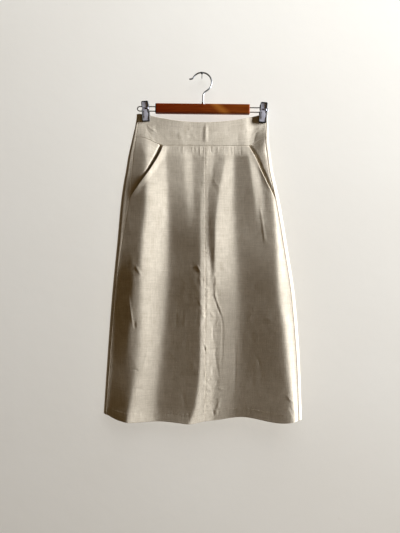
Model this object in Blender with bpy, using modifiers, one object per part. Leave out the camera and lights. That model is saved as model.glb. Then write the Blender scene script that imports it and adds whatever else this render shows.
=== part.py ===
"""A long A-line linen skirt with a wide shaped waistband, slant hip pockets and a centre-back zip,
hung by two clips on a wooden-bar hanger. Metres, +Z up, the front faces -Y. The origin is where the
hanger's hook rests on whatever holds it up, and everything hangs below it."""

import math

import bmesh
import bpy
import numpy as np

# ---- driving dimensions ----
CLOTH = 0.0012  # one layer of the heavy linen
SEAM_GAP = 0.0003  # space kept between two pieces that are sewn or rest together
TILT = math.radians(0.6)  # the hanger's right end hangs a little low
WIRE_ROUNDNESS = 2  # bevel resolution of every wire

# Heights of the cloth on the skirt's middle line. Towards the sides the edges rise, see rise().
TOP = -0.134  # upper edge of the waistband
GRIP = -0.153  # lowest height that the clips hold flat
SEAM = -0.198  # waistband's lower seam
HIP = -0.343  # lower end of both pocket mouths
MID = -0.614
HEM = -0.925
LEVELS = (GRIP, SEAM, HIP, MID, HEM)

TOP_RISE = 0.022  # how far the clips hold the upper edge above its middle
SEAM_RISE = 0.022  # how far the band's lower seam climbs over each hip
SEAM_RISE_FROM = {"left": 0.100, "right": 0.122}  # where that climb starts
SEAM_RISE_OVER = {"left": 0.068, "right": 0.056}  # and the width that it takes
RISE_FADE = 0.080  # height below the seam in which the rise dies out
CLIP_REACH = 0.155  # half the width between the clips

# Outline from the front: height, left side, right side.
OUTLINE = (
    (TOP, -0.176, 0.178),
    (SEAM, -0.188, 0.178),
    (-0.250, -0.202, 0.1845),
    (HIP, -0.218, 0.2035),
    (-0.451, -0.228, 0.2210),
    (MID, -0.244, 0.2432),
    (-0.776, -0.256, 0.2530),
    (HEM, -0.266, 0.2563),
)
# The hem line: place across, how far the hem hangs above its level. It dies out upwards.
HEM_LINE = (
    (-0.262, 0.004),
    (-0.235, -0.009),
    (-0.199, -0.015),
    (-0.165, -0.013),
    (-0.105, -0.009),
    (-0.030, -0.012),
    (0.005, -0.004),
    (0.040, -0.001),
    (0.107, 0.012),
    (0.168, 0.004),
    (0.200, 0.001),
    (0.256, 0.013),
)
HEM_LIFT_FROM = -0.660  # height where the hem's unevenness starts
HEM_LIFT_OVER = 0.265  # and the height that it takes
HEM_ROUNDING = (-0.012, -0.004, 0.004, 0.012)  # steps across over which the hem line is evened

# How the cloth turns from front to back at its sides, at each of LEVELS.
TURN_RADIUS = (0.0016, 0.0052, 0.0100, 0.0110, 0.0090)
TURN_DEPTH = {
    "left": (0.0000, 0.0040, 0.0035, 0.0020, 0.0030),
    "right": (0.000, -0.007, -0.021, -0.034, -0.042),
}

# Crests and ridges stand towards the viewer and valleys lie back: name, place across at each of LEVELS, then
# depth (negative is to the front) at each of LEVELS.
FRONT_FOLDS = (
    ("left_crest", (-0.153, -0.146, -0.147, -0.163, -0.199), (-0.0013, -0.0062, -0.0192, -0.0234, -0.0245)),
    ("left_valley", (-0.080, -0.094, -0.091, -0.095, -0.122), (-0.0050, -0.0058, -0.0105, -0.0150, -0.0195)),
    ("middle_crest", (0.010, 0.010, -0.003, -0.003, -0.034), (-0.0064, -0.0088, -0.0195, -0.0326, -0.0370)),
    ("seam_ridge", (0.062, 0.062, 0.043, 0.045, 0.050), (-0.0068, -0.0098, -0.0236, -0.0308, -0.0324)),
    ("right_valley", (0.100, 0.090, 0.0855, 0.096, 0.080), (-0.0066, -0.0092, -0.0200, -0.0307, -0.0345)),
    ("right_crest", (0.166, 0.164, 0.182, 0.202, 0.239), (-0.0013, -0.0120, -0.0314, -0.0500, -0.0575)),
)
BACK_FOLDS = (
    ("back_left_crest", (-0.153, -0.150, -0.160, -0.170, -0.185), (0.0013, 0.006, 0.014, 0.020, 0.024)),
    ("back_left_valley", (-0.075, -0.075, -0.080, -0.085, -0.080), (0.0060, 0.007, 0.008, 0.007, 0.004)),
    ("back_middle_crest", (0.004, 0.004, 0.006, 0.010, 0.014), (0.0080, 0.010, 0.015, 0.020, 0.024)),
    ("back_right_valley", (0.085, 0.085, 0.095, 0.105, 0.112), (0.0060, 0.007, 0.009, 0.010, 0.011)),
    ("back_right_crest", (0.166, 0.150, 0.170, 0.180, 0.186), (0.0013, 0.006, 0.011, 0.016, 0.020)),
)

# Seams.
CENTRE_FRONT = 0.009
CENTRE_BACK = 0.004
SIDE_SEAM_INSET = {  # how far each side seam lies inside the outline, on the front, at each of LEVELS
    "left": (0.0060, 0.0100, 0.0230, 0.0120, 0.0100),
    "right": (0.005, 0.009, 0.011, 0.012, 0.010),
}
MOUTH_TOP = {"left": -0.106, "right": 0.125}  # where each pocket mouth leaves the band seam
MOUTH_BOW = {"left": 0.0110, "right": 0.0}  # how far each mouth bows toward the middle
MOUTH_GAPE = {"left": 0.0030, "right": 0.0010}  # how far each mouth stands open
GAPE_REACH = 0.045  # width of the front that bows out beside the mouth

# Pocket bags: two layers behind the front panel.
BAG_LAYER = CLOTH + SEAM_GAP  # depth of the bag's front layer behind the panel
BEARER_LAYER = 0.0036  # depth of its back layer, which shows beside the mouth
BEARER_LEAST = 0.006  # width of the hip piece outside the mouth where the mouth ends
BAG_BOTTOM = -0.450
BAG_INNER = {"left": -0.074, "right": 0.092}

# Zip in the centre-back seam.
ZIP_END = -0.343
TAPE_HALF_WIDTH = 0.012
TAPE = 0.0008
SLIDER_SIZE = (0.0066, 0.0024, 0.0085)
SLIDER_DROP = 0.011  # below the band's upper edge
EAR_SIZE = (0.0012, 0.0030, 0.0030)
EAR_BORE = 0.00075
TRUNNION_RADIUS = 0.00050
TAB_SIZE = (0.0032, 0.0010, 0.0200)

# Hanger.
HOOK_WIRE = 0.0020  # radius
HOOK_BEND = 0.0263  # radius of the wire's middle line
HOOK_END_ANGLE = 150
HOOK_START_ANGLE = -60
HOOK_TIP = (-0.0335, -0.0160)
HOOK_TIP_PULL = (-0.0262, -0.0168)
SHANK_X = 0.0035
FERRULE_RADIUS = 0.0036
FERRULE_HEIGHT = 0.007
BAR_MIDDLE = (0.0025, -0.0968)
BAR_SIZE = (0.2550, 0.0130, 0.0258)
BAR_EDGE = 0.0022
RAIL_WIRE = 0.0014  # radius
RAIL_HALF_HEIGHT = 0.0061
RAIL_END = {"left": -0.1750, "right": 0.1805}  # outer edge of each wire loop
CLIP_PIVOT = {"left": -0.1518, "right": 0.1668}
CLIP_LEAN = {"left": math.radians(-4.6), "right": math.radians(4.0)}
PIVOT_HEIGHT = -0.0978
JAW = 0.0013  # thickness of the bent plate
# One jaw, from its lever down to its grip: height over the pivot, distance from the middle, half
# width, and how far its sides are folded in.
JAW_ROWS = (
    (0.0168, 0.0085, 0.0078, 0.0012),
    (0.0110, 0.0072, 0.0080, 0.0014),
    (0.0055, 0.0062, 0.0080, 0.0024),
    (0.0000, 0.0058, 0.0082, 0.0030),
    (-0.0055, 0.0059, 0.0084, 0.0024),
    (-0.0140, 0.0060, 0.0086, 0.0009),
    (-0.0345, 0.0058, 0.0090, 0.0009),
)
PAD_FACE = 0.00255  # from the middle plane to the rubber
PAD_SIZE = (0.0194, 0.0020, 0.0195)
PAD_BOTTOM = -0.0358
SPRING_RADIUS = 0.0040
SPRING_LENGTH = 0.0125


# ---- the skirt's form ----
def smooth(share):
    """0 to 1 with a level start and end."""
    share = np.clip(share, 0.0, 1.0)
    return share * share * (3.0 - 2.0 * share)


def at_height(height, heights, values):
    """A curve through a table's rows that never swings past them. Heights run downwards."""
    knots = -np.asarray(heights, float)
    values = np.asarray(values, float)
    steps = np.diff(knots)
    rates = np.diff(values) / steps
    slopes = np.zeros(len(knots))
    for i in range(1, len(knots) - 1):
        if rates[i - 1] * rates[i] > 0:
            slopes[i] = 2 * rates[i - 1] * rates[i] / (rates[i - 1] + rates[i])
    slopes[-1] = rates[-1]
    where = min(max(-height, knots[0]), knots[-1])
    i = min(int(np.searchsorted(knots, where, side="right")) - 1, len(knots) - 2)
    t = (where - knots[i]) / steps[i]
    rest = 1 - t
    return (
        values[i] * (1 + 2 * t) * rest**2
        + values[i + 1] * (1 + 2 * rest) * t**2
        + steps[i] * (slopes[i] * t * rest**2 - slopes[i + 1] * rest * t**2)
    )


def level_value(height, values):
    return at_height(height, LEVELS, values)


def outline(height):
    heights, lefts, rights = zip(*OUTLINE)
    return at_height(height, heights, lefts), at_height(height, heights, rights)


def fold_stations(height, folds):
    return [(level_value(height, across), level_value(height, depth)) for _, across, depth in folds]


def folded(x, stations):
    """Depth across the cloth, level at each crest and valley."""
    across, depth = np.array(stations).T
    i = np.clip(np.searchsorted(across, x, side="right") - 1, 0, len(across) - 2)
    share = (x - across[i]) / (across[i + 1] - across[i])
    return depth[i] + (depth[i + 1] - depth[i]) * smooth(share)


def rise(x, height):
    """How far the cloth at this place is above its height on the middle line."""
    top_rise = TOP_RISE * np.minimum(np.abs(x) / CLIP_REACH, 1.0) ** 2
    seam_rise = SEAM_RISE * (
        smooth((-x - SEAM_RISE_FROM["left"]) / SEAM_RISE_OVER["left"])
        + smooth((x - SEAM_RISE_FROM["right"]) / SEAM_RISE_OVER["right"])
    )
    share = np.clip((height - SEAM) / (TOP - SEAM), 0.0, 1.0)
    fade = 1.0 - smooth((SEAM - height) / RISE_FADE)
    across, lifts = np.array(HEM_LINE).T
    hem_lift = sum(np.interp(x + step, across, lifts) for step in HEM_ROUNDING) / len(HEM_ROUNDING)
    low = smooth((HEM_LIFT_FROM - height) / HEM_LIFT_OVER)
    return (top_rise * share + seam_rise * (1.0 - share)) * fade + hem_lift * low - x * math.tan(TILT)


class Ring:
    """The skirt's cross-section at one height: along the front from left to right, then the back."""

    FACE_STEPS = 240
    TURN_STEPS = 24

    def __init__(self, height):
        self.height = height
        left, right = outline(height)
        radius = level_value(height, TURN_RADIUS)
        depth = {side: level_value(height, row) for side, row in TURN_DEPTH.items()}
        inner = {"left": left + radius, "right": right - radius}

        def face(folds, toward):
            ends = [(inner[side], depth[side] + toward * radius) for side in ("left", "right")]
            return [ends[0], *fold_stations(height, folds), ends[1]]

        def turn(side, start):
            angles = np.radians(start) + np.linspace(0, math.pi, self.TURN_STEPS + 1)
            return np.column_stack(
                [inner[side] + radius * np.cos(angles), depth[side] + radius * np.sin(angles)]
            )

        x = np.linspace(inner["left"], inner["right"], self.FACE_STEPS + 1)
        front = np.column_stack([x, folded(x, face(FRONT_FOLDS, -1))])
        back = np.column_stack([x, folded(x, face(BACK_FOLDS, 1))])[::-1]
        self.points = np.vstack([front, turn("right", -90)[1:], back[1:], turn("left", 90)[1:]])
        steps = np.hypot(*np.diff(self.points, axis=0).T)
        self.lengths = np.concatenate([[0.0], np.cumsum(steps)])
        self.total = self.lengths[-1]
        self.turn_starts = self.lengths[self.FACE_STEPS]
        self.turn_ends = self.lengths[self.FACE_STEPS + self.TURN_STEPS]
        self.back_ends = self.lengths[2 * self.FACE_STEPS + self.TURN_STEPS]

    def on_front(self, x):
        stretch = slice(0, self.FACE_STEPS + 1)
        return float(np.interp(x, self.points[stretch, 0], self.lengths[stretch]))

    def on_back(self, x):
        first = self.FACE_STEPS + self.TURN_STEPS
        stretch = slice(first, first + self.FACE_STEPS + 1)
        return float(np.interp(-x, -self.points[stretch, 0], self.lengths[stretch]))

    def place(self, lengths, outward):
        """Points at these lengths round the ring, moved outward by these distances."""
        wrapped = np.mod(lengths, self.total)
        slopes = np.gradient(self.points, self.lengths, axis=0)
        x, y = (np.interp(wrapped, self.lengths, column) for column in self.points.T)
        along_x, along_y = (np.interp(wrapped, self.lengths, column) for column in slopes.T)
        size = np.hypot(along_x, along_y)
        return np.column_stack(
            [
                x + outward * along_y / size,
                y - outward * along_x / size,
                self.height + rise(x, self.height),
            ]
        )


# ---- seam lines: each gives a length round a ring ----
def side_seam(ring, side):
    left, right = outline(ring.height)
    inset = level_value(ring.height, SIDE_SEAM_INSET[side])
    return ring.on_front(left + inset if side == "left" else right - inset)


def mouth_line(ring, side):
    """The edge of the front panel: the pocket mouth, and the side seam below it."""
    share = min(max((SEAM - ring.height) / (SEAM - HIP), 0.0), 1.0)
    low = Ring(HIP)
    low_x = low.place(np.array([side_seam(low, side)]), 0.0)[0, 0]
    if share >= 1:
        return side_seam(ring, side)
    bow = 4 * MOUTH_BOW[side] * share * (1 - share) ** 2
    return ring.on_front(MOUTH_TOP[side] + (low_x - MOUTH_TOP[side]) * share + bow)


def bearer_line(ring, side):
    """The mouth line on the hip piece, which stays a little wide at the mouth's lower end."""
    seam = side_seam(ring, side)
    if side == "left":
        return max(mouth_line(ring, side), seam + BEARER_LEAST)
    return min(mouth_line(ring, side), seam - BEARER_LEAST)


def centre_front(ring):
    return ring.on_front(CENTRE_FRONT)


def centre_back(ring):
    return ring.on_back(CENTRE_BACK)


def bag_inner(ring, side):
    """The bag's inner edge, and the column of the front panel that lies over it."""
    return ring.on_front(BAG_INNER[side])


def gape(ring, lengths, side):
    """How far the front bows out beside a pocket mouth."""
    share = (SEAM - ring.height) / (SEAM - HIP)
    if not 0 < share < 1:
        return np.zeros_like(lengths)
    open_here = MOUTH_GAPE[side] * math.sin(math.pi * share**0.6)
    return open_here * smooth(1 - np.abs(lengths - mouth_line(ring, side)) / GAPE_REACH)


# ---- Blender helpers ----
def clear_scene():
    for obj in list(bpy.data.objects):
        bpy.data.objects.remove(obj, do_unlink=True)


def collection(name):
    made = bpy.data.collections.new(name)
    bpy.context.scene.collection.children.link(made)
    return made


def material(name, colour, roughness, metallic=0.0):
    made = bpy.data.materials.new(name)
    made.use_nodes = True
    shader = made.node_tree.nodes["Principled BSDF"]
    shader.inputs["Base Color"].default_value = (*colour, 1.0)
    shader.inputs["Roughness"].default_value = roughness
    shader.inputs["Metallic"].default_value = metallic
    return made


def add_mesh(name, mesh, finish, parent=None, smooth_faces=False):
    obj = bpy.data.objects.new(name, mesh)
    mesh.materials.append(finish)
    if smooth_faces:
        mesh.shade_smooth()
        mesh.set_sharp_from_angle(angle=math.radians(40))
    PARTS.objects.link(obj)
    obj.parent = parent
    return obj


def grid_mesh(name, rows):
    """An open surface through rows of equally many points."""
    wide = len(rows[0])
    faces = [
        (a, a + wide, a + wide + 1, a + 1)
        for r in range(len(rows) - 1)
        for a in range(r * wide, r * wide + wide - 1)
    ]
    mesh = bpy.data.meshes.new(name)
    mesh.from_pydata([tuple(p) for row in rows for p in row], [], faces)
    return mesh


def solidify(obj, thickness):
    modifier = obj.modifiers.new("thickness", "SOLIDIFY")
    modifier.thickness = thickness
    modifier.offset = 0.0
    modifier.use_even_offset = True


def soften(obj, width, segments=2):
    modifier = obj.modifiers.new("soft_edges", "BEVEL")
    modifier.width = width
    modifier.segments = segments
    modifier.limit_method = "ANGLE"


def box_mesh(name, size, middle=(0.0, 0.0, 0.0)):
    shape = bmesh.new()
    bmesh.ops.create_cube(shape, size=1.0)
    bmesh.ops.scale(shape, vec=size, verts=shape.verts)
    bmesh.ops.translate(shape, vec=middle, verts=shape.verts)
    mesh = bpy.data.meshes.new(name)
    shape.to_mesh(mesh)
    shape.free()
    return mesh


def rod_mesh(name, radius, length, middle, along_x, sides=20):
    shape = bmesh.new()
    bmesh.ops.create_cone(
        shape, cap_ends=True, segments=sides, radius1=radius, radius2=radius, depth=length
    )
    if along_x:
        for vert in shape.verts:
            vert.co = (vert.co.z, vert.co.y, -vert.co.x)
    bmesh.ops.translate(shape, vec=middle, verts=shape.verts)
    mesh = bpy.data.meshes.new(name)
    shape.to_mesh(mesh)
    shape.free()
    return mesh


def add_wire(name, path, radius, finish, parent):
    """A wire in the hanger's plane through (x, z) points."""
    curve = bpy.data.curves.new(name, "CURVE")
    curve.dimensions = "3D"
    curve.bevel_depth = radius
    curve.bevel_resolution = WIRE_ROUNDNESS
    curve.use_fill_caps = True
    spline = curve.splines.new("POLY")
    spline.points.add(len(path) - 1)
    for point, (x, z) in zip(spline.points, path):
        point.co = (x, 0.0, z, 1.0)
    curve.materials.append(finish)
    obj = bpy.data.objects.new(name, curve)
    PARTS.objects.link(obj)
    obj.parent = parent
    return obj


def add_boolean(obj, other, operation):
    other.hide_render = True
    other.display_type = "WIRE"
    PARTS.objects.unlink(other)
    CUTTERS.objects.link(other)
    modifier = obj.modifiers.new(operation.lower() + "_" + other.name, "BOOLEAN")
    modifier.operation = operation
    modifier.object = other


def add_empty(name, place, turn=0.0, parent=None):
    empty = bpy.data.objects.new(name, None)
    empty.location = place
    empty.rotation_euler = (0.0, turn, 0.0)
    PARTS.objects.link(empty)
    empty.parent = parent
    return empty


# ---- cloth pieces ----
def steps(first, last, count):
    return list(np.linspace(first, last, count + 1))


def add_panel(name, heights, spans, inset=0.0, bow=None, thickness=CLOTH, finish=None):
    """A piece between seam lines. Each span is (line, line, columns) and follows the one before."""
    rows = []
    for height in heights:
        ring = Ring(height)
        ends = [(first(ring), last(ring), count) for first, last, count in spans]
        lengths = np.concatenate(
            [np.linspace(a, b, count + 1)[(i > 0):] for i, (a, b, count) in enumerate(ends)]
        )
        lengths[0] += SEAM_GAP / 2
        lengths[-1] -= SEAM_GAP / 2
        outward = -inset + (gape(ring, lengths, bow) if bow else 0.0)
        rows.append(ring.place(lengths, outward))
    obj = add_mesh(name, grid_mesh(name, rows), finish or LINEN, smooth_faces=True)
    solidify(obj, thickness)
    return obj


def around(offset_line):
    """A line reached after passing the ring's start."""
    return lambda ring: offset_line(ring) + ring.total


def line(function, side):
    return lambda ring: function(ring, side)


def right_turn_start(ring):
    return ring.turn_starts


def right_turn_end(ring):
    return ring.turn_ends


def left_turn_start(ring):
    return ring.back_ends


def left_turn_end(ring):
    return ring.total


def add_rear(name_right, name_left, heights, columns):
    add_panel(
        name_right,
        heights,
        (
            (line(side_seam, "right"), right_turn_start, 1),
            (right_turn_start, right_turn_end, 5),
            (right_turn_end, centre_back, columns),
        ),
    )
    add_panel(
        name_left,
        heights,
        (
            (centre_back, left_turn_start, columns),
            (left_turn_start, left_turn_end, 5),
            (left_turn_end, around(line(side_seam, "left")), 2),
        ),
    )


def add_waistband():
    heights = [*steps(TOP, GRIP, 2), *steps(GRIP, SEAM + SEAM_GAP / 2, 3)[1:]]
    add_panel(
        "waistband_front", heights, ((line(side_seam, "left"), line(side_seam, "right"), 28),)
    )
    add_rear("waistband_back_right", "waistband_back_left", heights, 13)


def pocket_spans(side):
    """The columns over the pocket, from its mouth inward, which the panel and both bag layers share."""
    ends = line(mouth_line, side), line(bag_inner, side)
    return (*(ends if side == "left" else ends[::-1]), 10)


def add_skirt_panels():
    mouth_heights = steps(SEAM - SEAM_GAP / 2, HIP, 7)
    bag_heights = steps(HIP, BAG_BOTTOM, 3)
    heights = [*mouth_heights, *bag_heights[1:], *steps(BAG_BOTTOM, HEM, 10)[1:]]
    plain = {side: line(bag_inner, side) for side in ("left", "right")}
    left_spans = (pocket_spans("left"), (plain["left"], centre_front, 6))
    right_spans = ((centre_front, plain["right"], 6), pocket_spans("right"))
    add_panel("front_left", heights, left_spans, bow="left")
    add_panel("front_right", heights, right_spans, bow="right")
    add_rear("back_right", "back_left", heights, 13)

    bearer_heights = [*mouth_heights[:-1], HIP + SEAM_GAP / 2]
    lower_heights = [HIP - SEAM_GAP / 2, *bag_heights[1:]]
    for side in ("left", "right"):
        over_pocket = pocket_spans(side)
        seam, middle, inner = (line(at, side) for at in (side_seam, bearer_line, bag_inner))
        bearer = ((seam, middle, 3), (middle, inner, 10))
        if side == "right":
            bearer = ((inner, middle, 10), (middle, seam, 3))
        add_panel("hip_" + side, bearer_heights, bearer, inset=BEARER_LAYER)
        add_panel(
            "pocket_back_" + side, lower_heights, (over_pocket,), inset=BEARER_LAYER, finish=LINING
        )
        add_panel(
            "pocket_front_" + side,
            [*mouth_heights, *bag_heights[1:]],
            (over_pocket,),
            inset=BAG_LAYER,
            bow=side,
            finish=LINING,
        )


def add_zip():
    heights = [*steps(TOP - 0.003, SEAM, 3), *steps(SEAM, ZIP_END, 5)[1:]]
    inset = CLOTH / 2 + SEAM_GAP + TAPE / 2

    def edge(offset):
        return lambda ring: centre_back(ring) + offset

    add_panel(
        "zip_tape",
        heights,
        ((edge(-TAPE_HALF_WIDTH), edge(TAPE_HALF_WIDTH), 4),),
        inset=inset,
        thickness=TAPE,
        finish=ZIP_TAPE,
    )

    ring = Ring(TOP - SLIDER_DROP)
    seat = ring.place(np.array([centre_back(ring)]), CLOTH / 2 + SEAM_GAP)[0]
    width, deep, tall = SLIDER_SIZE
    ear_wide, ear_deep, ear_tall = EAR_SIZE
    hinge = (seat[0], seat[1] + deep + ear_deep / 2, seat[2])
    slider = add_mesh(
        "zip_slider",
        box_mesh("zip_slider", SLIDER_SIZE, (seat[0], seat[1] + deep / 2, seat[2])),
        ZIP_METAL,
    )
    for name, way in (("ear_left", -1), ("ear_right", 1)):
        x = seat[0] + way * (width - ear_wide) / 2
        size = (ear_wide, ear_deep + deep / 2, ear_tall)
        middle = (x, hinge[1] - deep / 4, seat[2])
        add_boolean(slider, add_mesh(name, box_mesh(name, size, middle), ZIP_METAL), "UNION")
    bore = add_mesh("ear_bore", rod_mesh("ear_bore", EAR_BORE, 2 * width, hinge, True), ZIP_METAL)
    add_boolean(slider, bore, "DIFFERENCE")
    soften(slider, 0.0002, 1)

    pivot = add_empty("pull_hinge", hinge)
    wide, thick, length = TAB_SIZE
    tab = add_mesh(
        "zip_pull", box_mesh("zip_pull", TAB_SIZE, (0.0, 0.0, thick - length / 2)), ZIP_METAL, pivot
    )
    trunnion = rod_mesh("trunnion", TRUNNION_RADIUS, width - SEAM_GAP, (0.0, 0.0, 0.0), True)
    pin = add_mesh("trunnion", trunnion, ZIP_METAL, pivot)
    add_boolean(tab, pin, "UNION")


# ---- hanger ----
def bend(first, pull, last, count):
    """A quadratic curve that leaves and arrives along the lines through its pull point."""
    return [
        tuple((1 - t) ** 2 * a + 2 * t * (1 - t) * b + t * t * c for a, b, c in zip(first, pull, last))
        for t in np.linspace(0, 1, count + 1)
    ]


def add_hook(parent):
    centre = HOOK_WIRE - HOOK_BEND
    top_of_bar = BAR_MIDDLE[1] + BAR_SIZE[2] / 2
    angles = np.radians(steps(HOOK_START_ANGLE, HOOK_END_ANGLE, 26))
    arc = [(HOOK_BEND * math.cos(a), centre + HOOK_BEND * math.sin(a)) for a in angles]
    start = arc[0]
    corner = start[1] - (start[0] - SHANK_X) * math.tan(math.radians(90 + HOOK_START_ANGLE))
    shank_foot = (SHANK_X, top_of_bar + FERRULE_HEIGHT + 2 * SEAM_GAP)
    shank_top = (SHANK_X, corner - (start[0] - SHANK_X))
    path = [
        shank_foot,
        *bend(shank_top, (SHANK_X, corner), start, 6),
        *arc[1:],
        *bend(arc[-1], HOOK_TIP_PULL, HOOK_TIP, 5)[1:],
    ]
    add_wire("hook", path, HOOK_WIRE, CHROME, parent)
    middle = (SHANK_X, 0.0, top_of_bar + SEAM_GAP + FERRULE_HEIGHT / 2)
    ferrule = rod_mesh("hook_ferrule", FERRULE_RADIUS, FERRULE_HEIGHT, middle, False)
    soften(add_mesh("hook_ferrule", ferrule, CHROME, parent, smooth_faces=True), 0.0006)


def add_bar(parent):
    middle = (BAR_MIDDLE[0], 0.0, BAR_MIDDLE[1])
    bar = add_mesh("wooden_bar", box_mesh("wooden_bar", BAR_SIZE, middle), WOOD, parent)
    soften(bar, BAR_EDGE, 3)


def add_rail(side, parent):
    """The wire loop out of one end of the bar, on which a clip slides."""
    way = -1 if side == "left" else 1
    bar_end = BAR_MIDDLE[0] + way * (BAR_SIZE[0] / 2 + SEAM_GAP)
    turn_middle = RAIL_END[side] - way * (RAIL_HALF_HEIGHT + RAIL_WIRE)
    turn = [
        (
            turn_middle + way * RAIL_HALF_HEIGHT * math.cos(a),
            PIVOT_HEIGHT + RAIL_HALF_HEIGHT * math.sin(a),
        )
        for a in np.linspace(math.pi / 2, -math.pi / 2, 13)
    ]
    path = [(bar_end, turn[0][1]), *turn, (bar_end, turn[-1][1])]
    add_wire("rail_" + side, path, RAIL_WIRE, CHROME, parent)


def add_clip(side, parent):
    pivot = add_empty("clip_" + side, (CLIP_PIVOT[side], 0.0, PIVOT_HEIGHT), CLIP_LEAN[side], parent)
    for face, way in (("front", -1), ("back", 1)):
        name = f"clip_{side}_jaw_{face}"
        rows = [
            [
                (-half, way * (away - fold), height),
                (-half, way * away, height),
                (half, way * away, height),
                (half, way * (away - fold), height),
            ]
            for height, away, half, fold in JAW_ROWS
        ]
        solidify(add_mesh(name, grid_mesh(name, rows), STEEL, pivot), JAW)
        name = f"clip_{side}_pad_{face}"
        wide, deep, tall = PAD_SIZE
        middle = (0.0, way * (PAD_FACE + deep / 2), PAD_BOTTOM + tall / 2)
        soften(add_mesh(name, box_mesh(name, PAD_SIZE, middle), RUBBER, pivot), 0.0004, 1)
    name = f"clip_{side}_spring"
    spring = rod_mesh(name, SPRING_RADIUS, SPRING_LENGTH, (0.0, 0.0, 0.0), True)
    add_mesh(name, spring, STEEL, pivot, smooth_faces=True)


clear_scene()
PARTS = collection("linen_skirt_on_clip_hanger")
CUTTERS = collection("cutters")
LINEN = material("linen", (0.53, 0.46, 0.36), 0.90)
LINING = material("pocket_cloth", (0.53, 0.46, 0.36), 0.92)
ZIP_TAPE = material("zip_tape_cloth", (0.50, 0.44, 0.35), 0.85)
ZIP_METAL = material("zip_metal", (0.46, 0.42, 0.35), 0.40, 0.6)
CHROME = material("bright_wire", (0.62, 0.62, 0.62), 0.18, 1.0)
WOOD = material("red_brown_wood", (0.15, 0.035, 0.008), 0.32)
STEEL = material("clip_plate", (0.30, 0.29, 0.30), 0.35, 0.8)
RUBBER = material("black_rubber", (0.012, 0.012, 0.012), 0.60)

add_waistband()
add_skirt_panels()
add_zip()
HANGER = add_empty("hanger", (0.0, 0.0, 0.0), TILT)
add_hook(HANGER)
add_bar(HANGER)
for hanger_side in ("left", "right"):
    add_rail(hanger_side, HANGER)
    add_clip(hanger_side, HANGER)
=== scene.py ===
"""A long A-line linen skirt on a wooden clip hanger, hung against a plaster wall."""

import math
from functools import lru_cache

import bmesh
import bpy
import numpy as np
from mathutils import Matrix, Vector


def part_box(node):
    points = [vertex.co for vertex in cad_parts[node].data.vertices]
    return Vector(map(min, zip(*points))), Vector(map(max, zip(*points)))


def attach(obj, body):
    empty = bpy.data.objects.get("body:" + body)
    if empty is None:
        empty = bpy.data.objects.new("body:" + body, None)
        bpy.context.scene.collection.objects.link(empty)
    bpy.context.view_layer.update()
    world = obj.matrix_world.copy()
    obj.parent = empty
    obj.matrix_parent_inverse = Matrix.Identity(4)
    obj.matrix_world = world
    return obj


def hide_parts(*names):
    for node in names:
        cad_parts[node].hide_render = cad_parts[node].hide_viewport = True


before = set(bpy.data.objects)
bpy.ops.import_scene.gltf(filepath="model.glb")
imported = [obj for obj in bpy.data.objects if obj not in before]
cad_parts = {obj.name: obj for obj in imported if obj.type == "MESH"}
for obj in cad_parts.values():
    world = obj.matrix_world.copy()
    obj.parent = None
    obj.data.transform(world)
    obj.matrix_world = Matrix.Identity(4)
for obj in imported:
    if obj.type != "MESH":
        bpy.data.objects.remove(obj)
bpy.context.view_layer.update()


# ---- sizes shared with the sewing pattern, in metres ----
TILT = math.radians(0.6)  # the hanger hangs a little lower at the right
# Heights: the band's upper edge, the end of the clips' grip, the band's seam, the mouths' lower end, the
# middle of the skirt and its hem.
TOP, GRIP, SEAM, HIP, MID, HEM = -0.134, -0.153, -0.198, -0.343, -0.614, -0.925
TOP_RISE = SEAM_RISE = 0.022  # how much higher the band's edge and its seam are at the sides
SEAM_RISE_FROM = {"left": 0.1, "right": 0.122}  # where the seam starts to rise
SEAM_RISE_OVER = {"left": 0.068, "right": 0.056}  # and the width that it takes
RISE_FADE = 0.08  # the height below the seam in which the rise dies out
CLIP_REACH = 0.155
HEM_LIFT_FROM, HEM_LIFT_OVER = -0.66, 0.265  # where the hem's unevenness starts, and the height it takes
HEM_ROUNDING = (-0.012, -0.004, 0.004, 0.012)  # steps across over which the hem line is evened
SEAM_GAP = 0.0003
BEHIND_FRONT = 0.0012  # how far the hip piece lies behind the front panel that covers it
OUTER = 0.0006  # outer face of the cloth, outside the middle of its solid
LAYER = 0.0007  # one layer of linen
EDGE_TURN = 0.0008  # radius of a pressed edge
ALLOWANCE = 0.0095  # cloth turned under beside each seam
HEM_DEPTH = 0.025
CENTRE_FRONT = 0.009
CENTRE_BACK = 0.004
BAG_BOTTOM = -0.45
ZIP_END = -0.343

# Height, then left and right side.
OUTLINE = (
    (TOP, -0.176, 0.178), (SEAM, -0.188, 0.178), (-0.25, -0.202, 0.1845), (HIP, -0.218, 0.2035),
    (-0.451, -0.228, 0.221), (MID, -0.244, 0.2432), (-0.776, -0.256, 0.253), (HEM, -0.266, 0.2563),
)
# Height, radius of the turn from front to back, its depth at the left and at the right.
SIDE_TURN = (
    (GRIP, 0.0016, 0.0, 0.0), (SEAM, 0.0052, 0.0028, -0.007), (-0.25, 0.0075, 0.0012, -0.0145),
    (HIP, 0.01, 0.0016, -0.021), (-0.451, 0.0106, 0.001, -0.026), (MID, 0.011, 0.002, -0.035),
    (HEM, 0.009, 0.003, -0.049),
)
# Height, how far the left and the right side seam lie inside the outline, on the front.
SIDE_SEAM = (
    (GRIP, 0.006, 0.005), (SEAM, 0.01, 0.009), (HIP, 0.023, 0.011), (-0.451, 0.015, 0.011),
    (MID, 0.008, 0.01), (HEM, 0.0085, 0.008),
)
# Across, how far the hem hangs above its level.
HEM_LINE = (
    (-0.262, 0.004), (-0.235, -0.009), (-0.199, -0.015), (-0.165, -0.013), (-0.105, -0.009),
    (-0.065, -0.01), (-0.03, -0.012), (0.005, -0.004), (0.04, -0.001), (0.075, 0.007), (0.107, 0.012),
    (0.138, 0.009), (0.168, 0.004), (0.2, 0.001), (0.232, 0.005), (0.256, 0.013),
)
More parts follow.
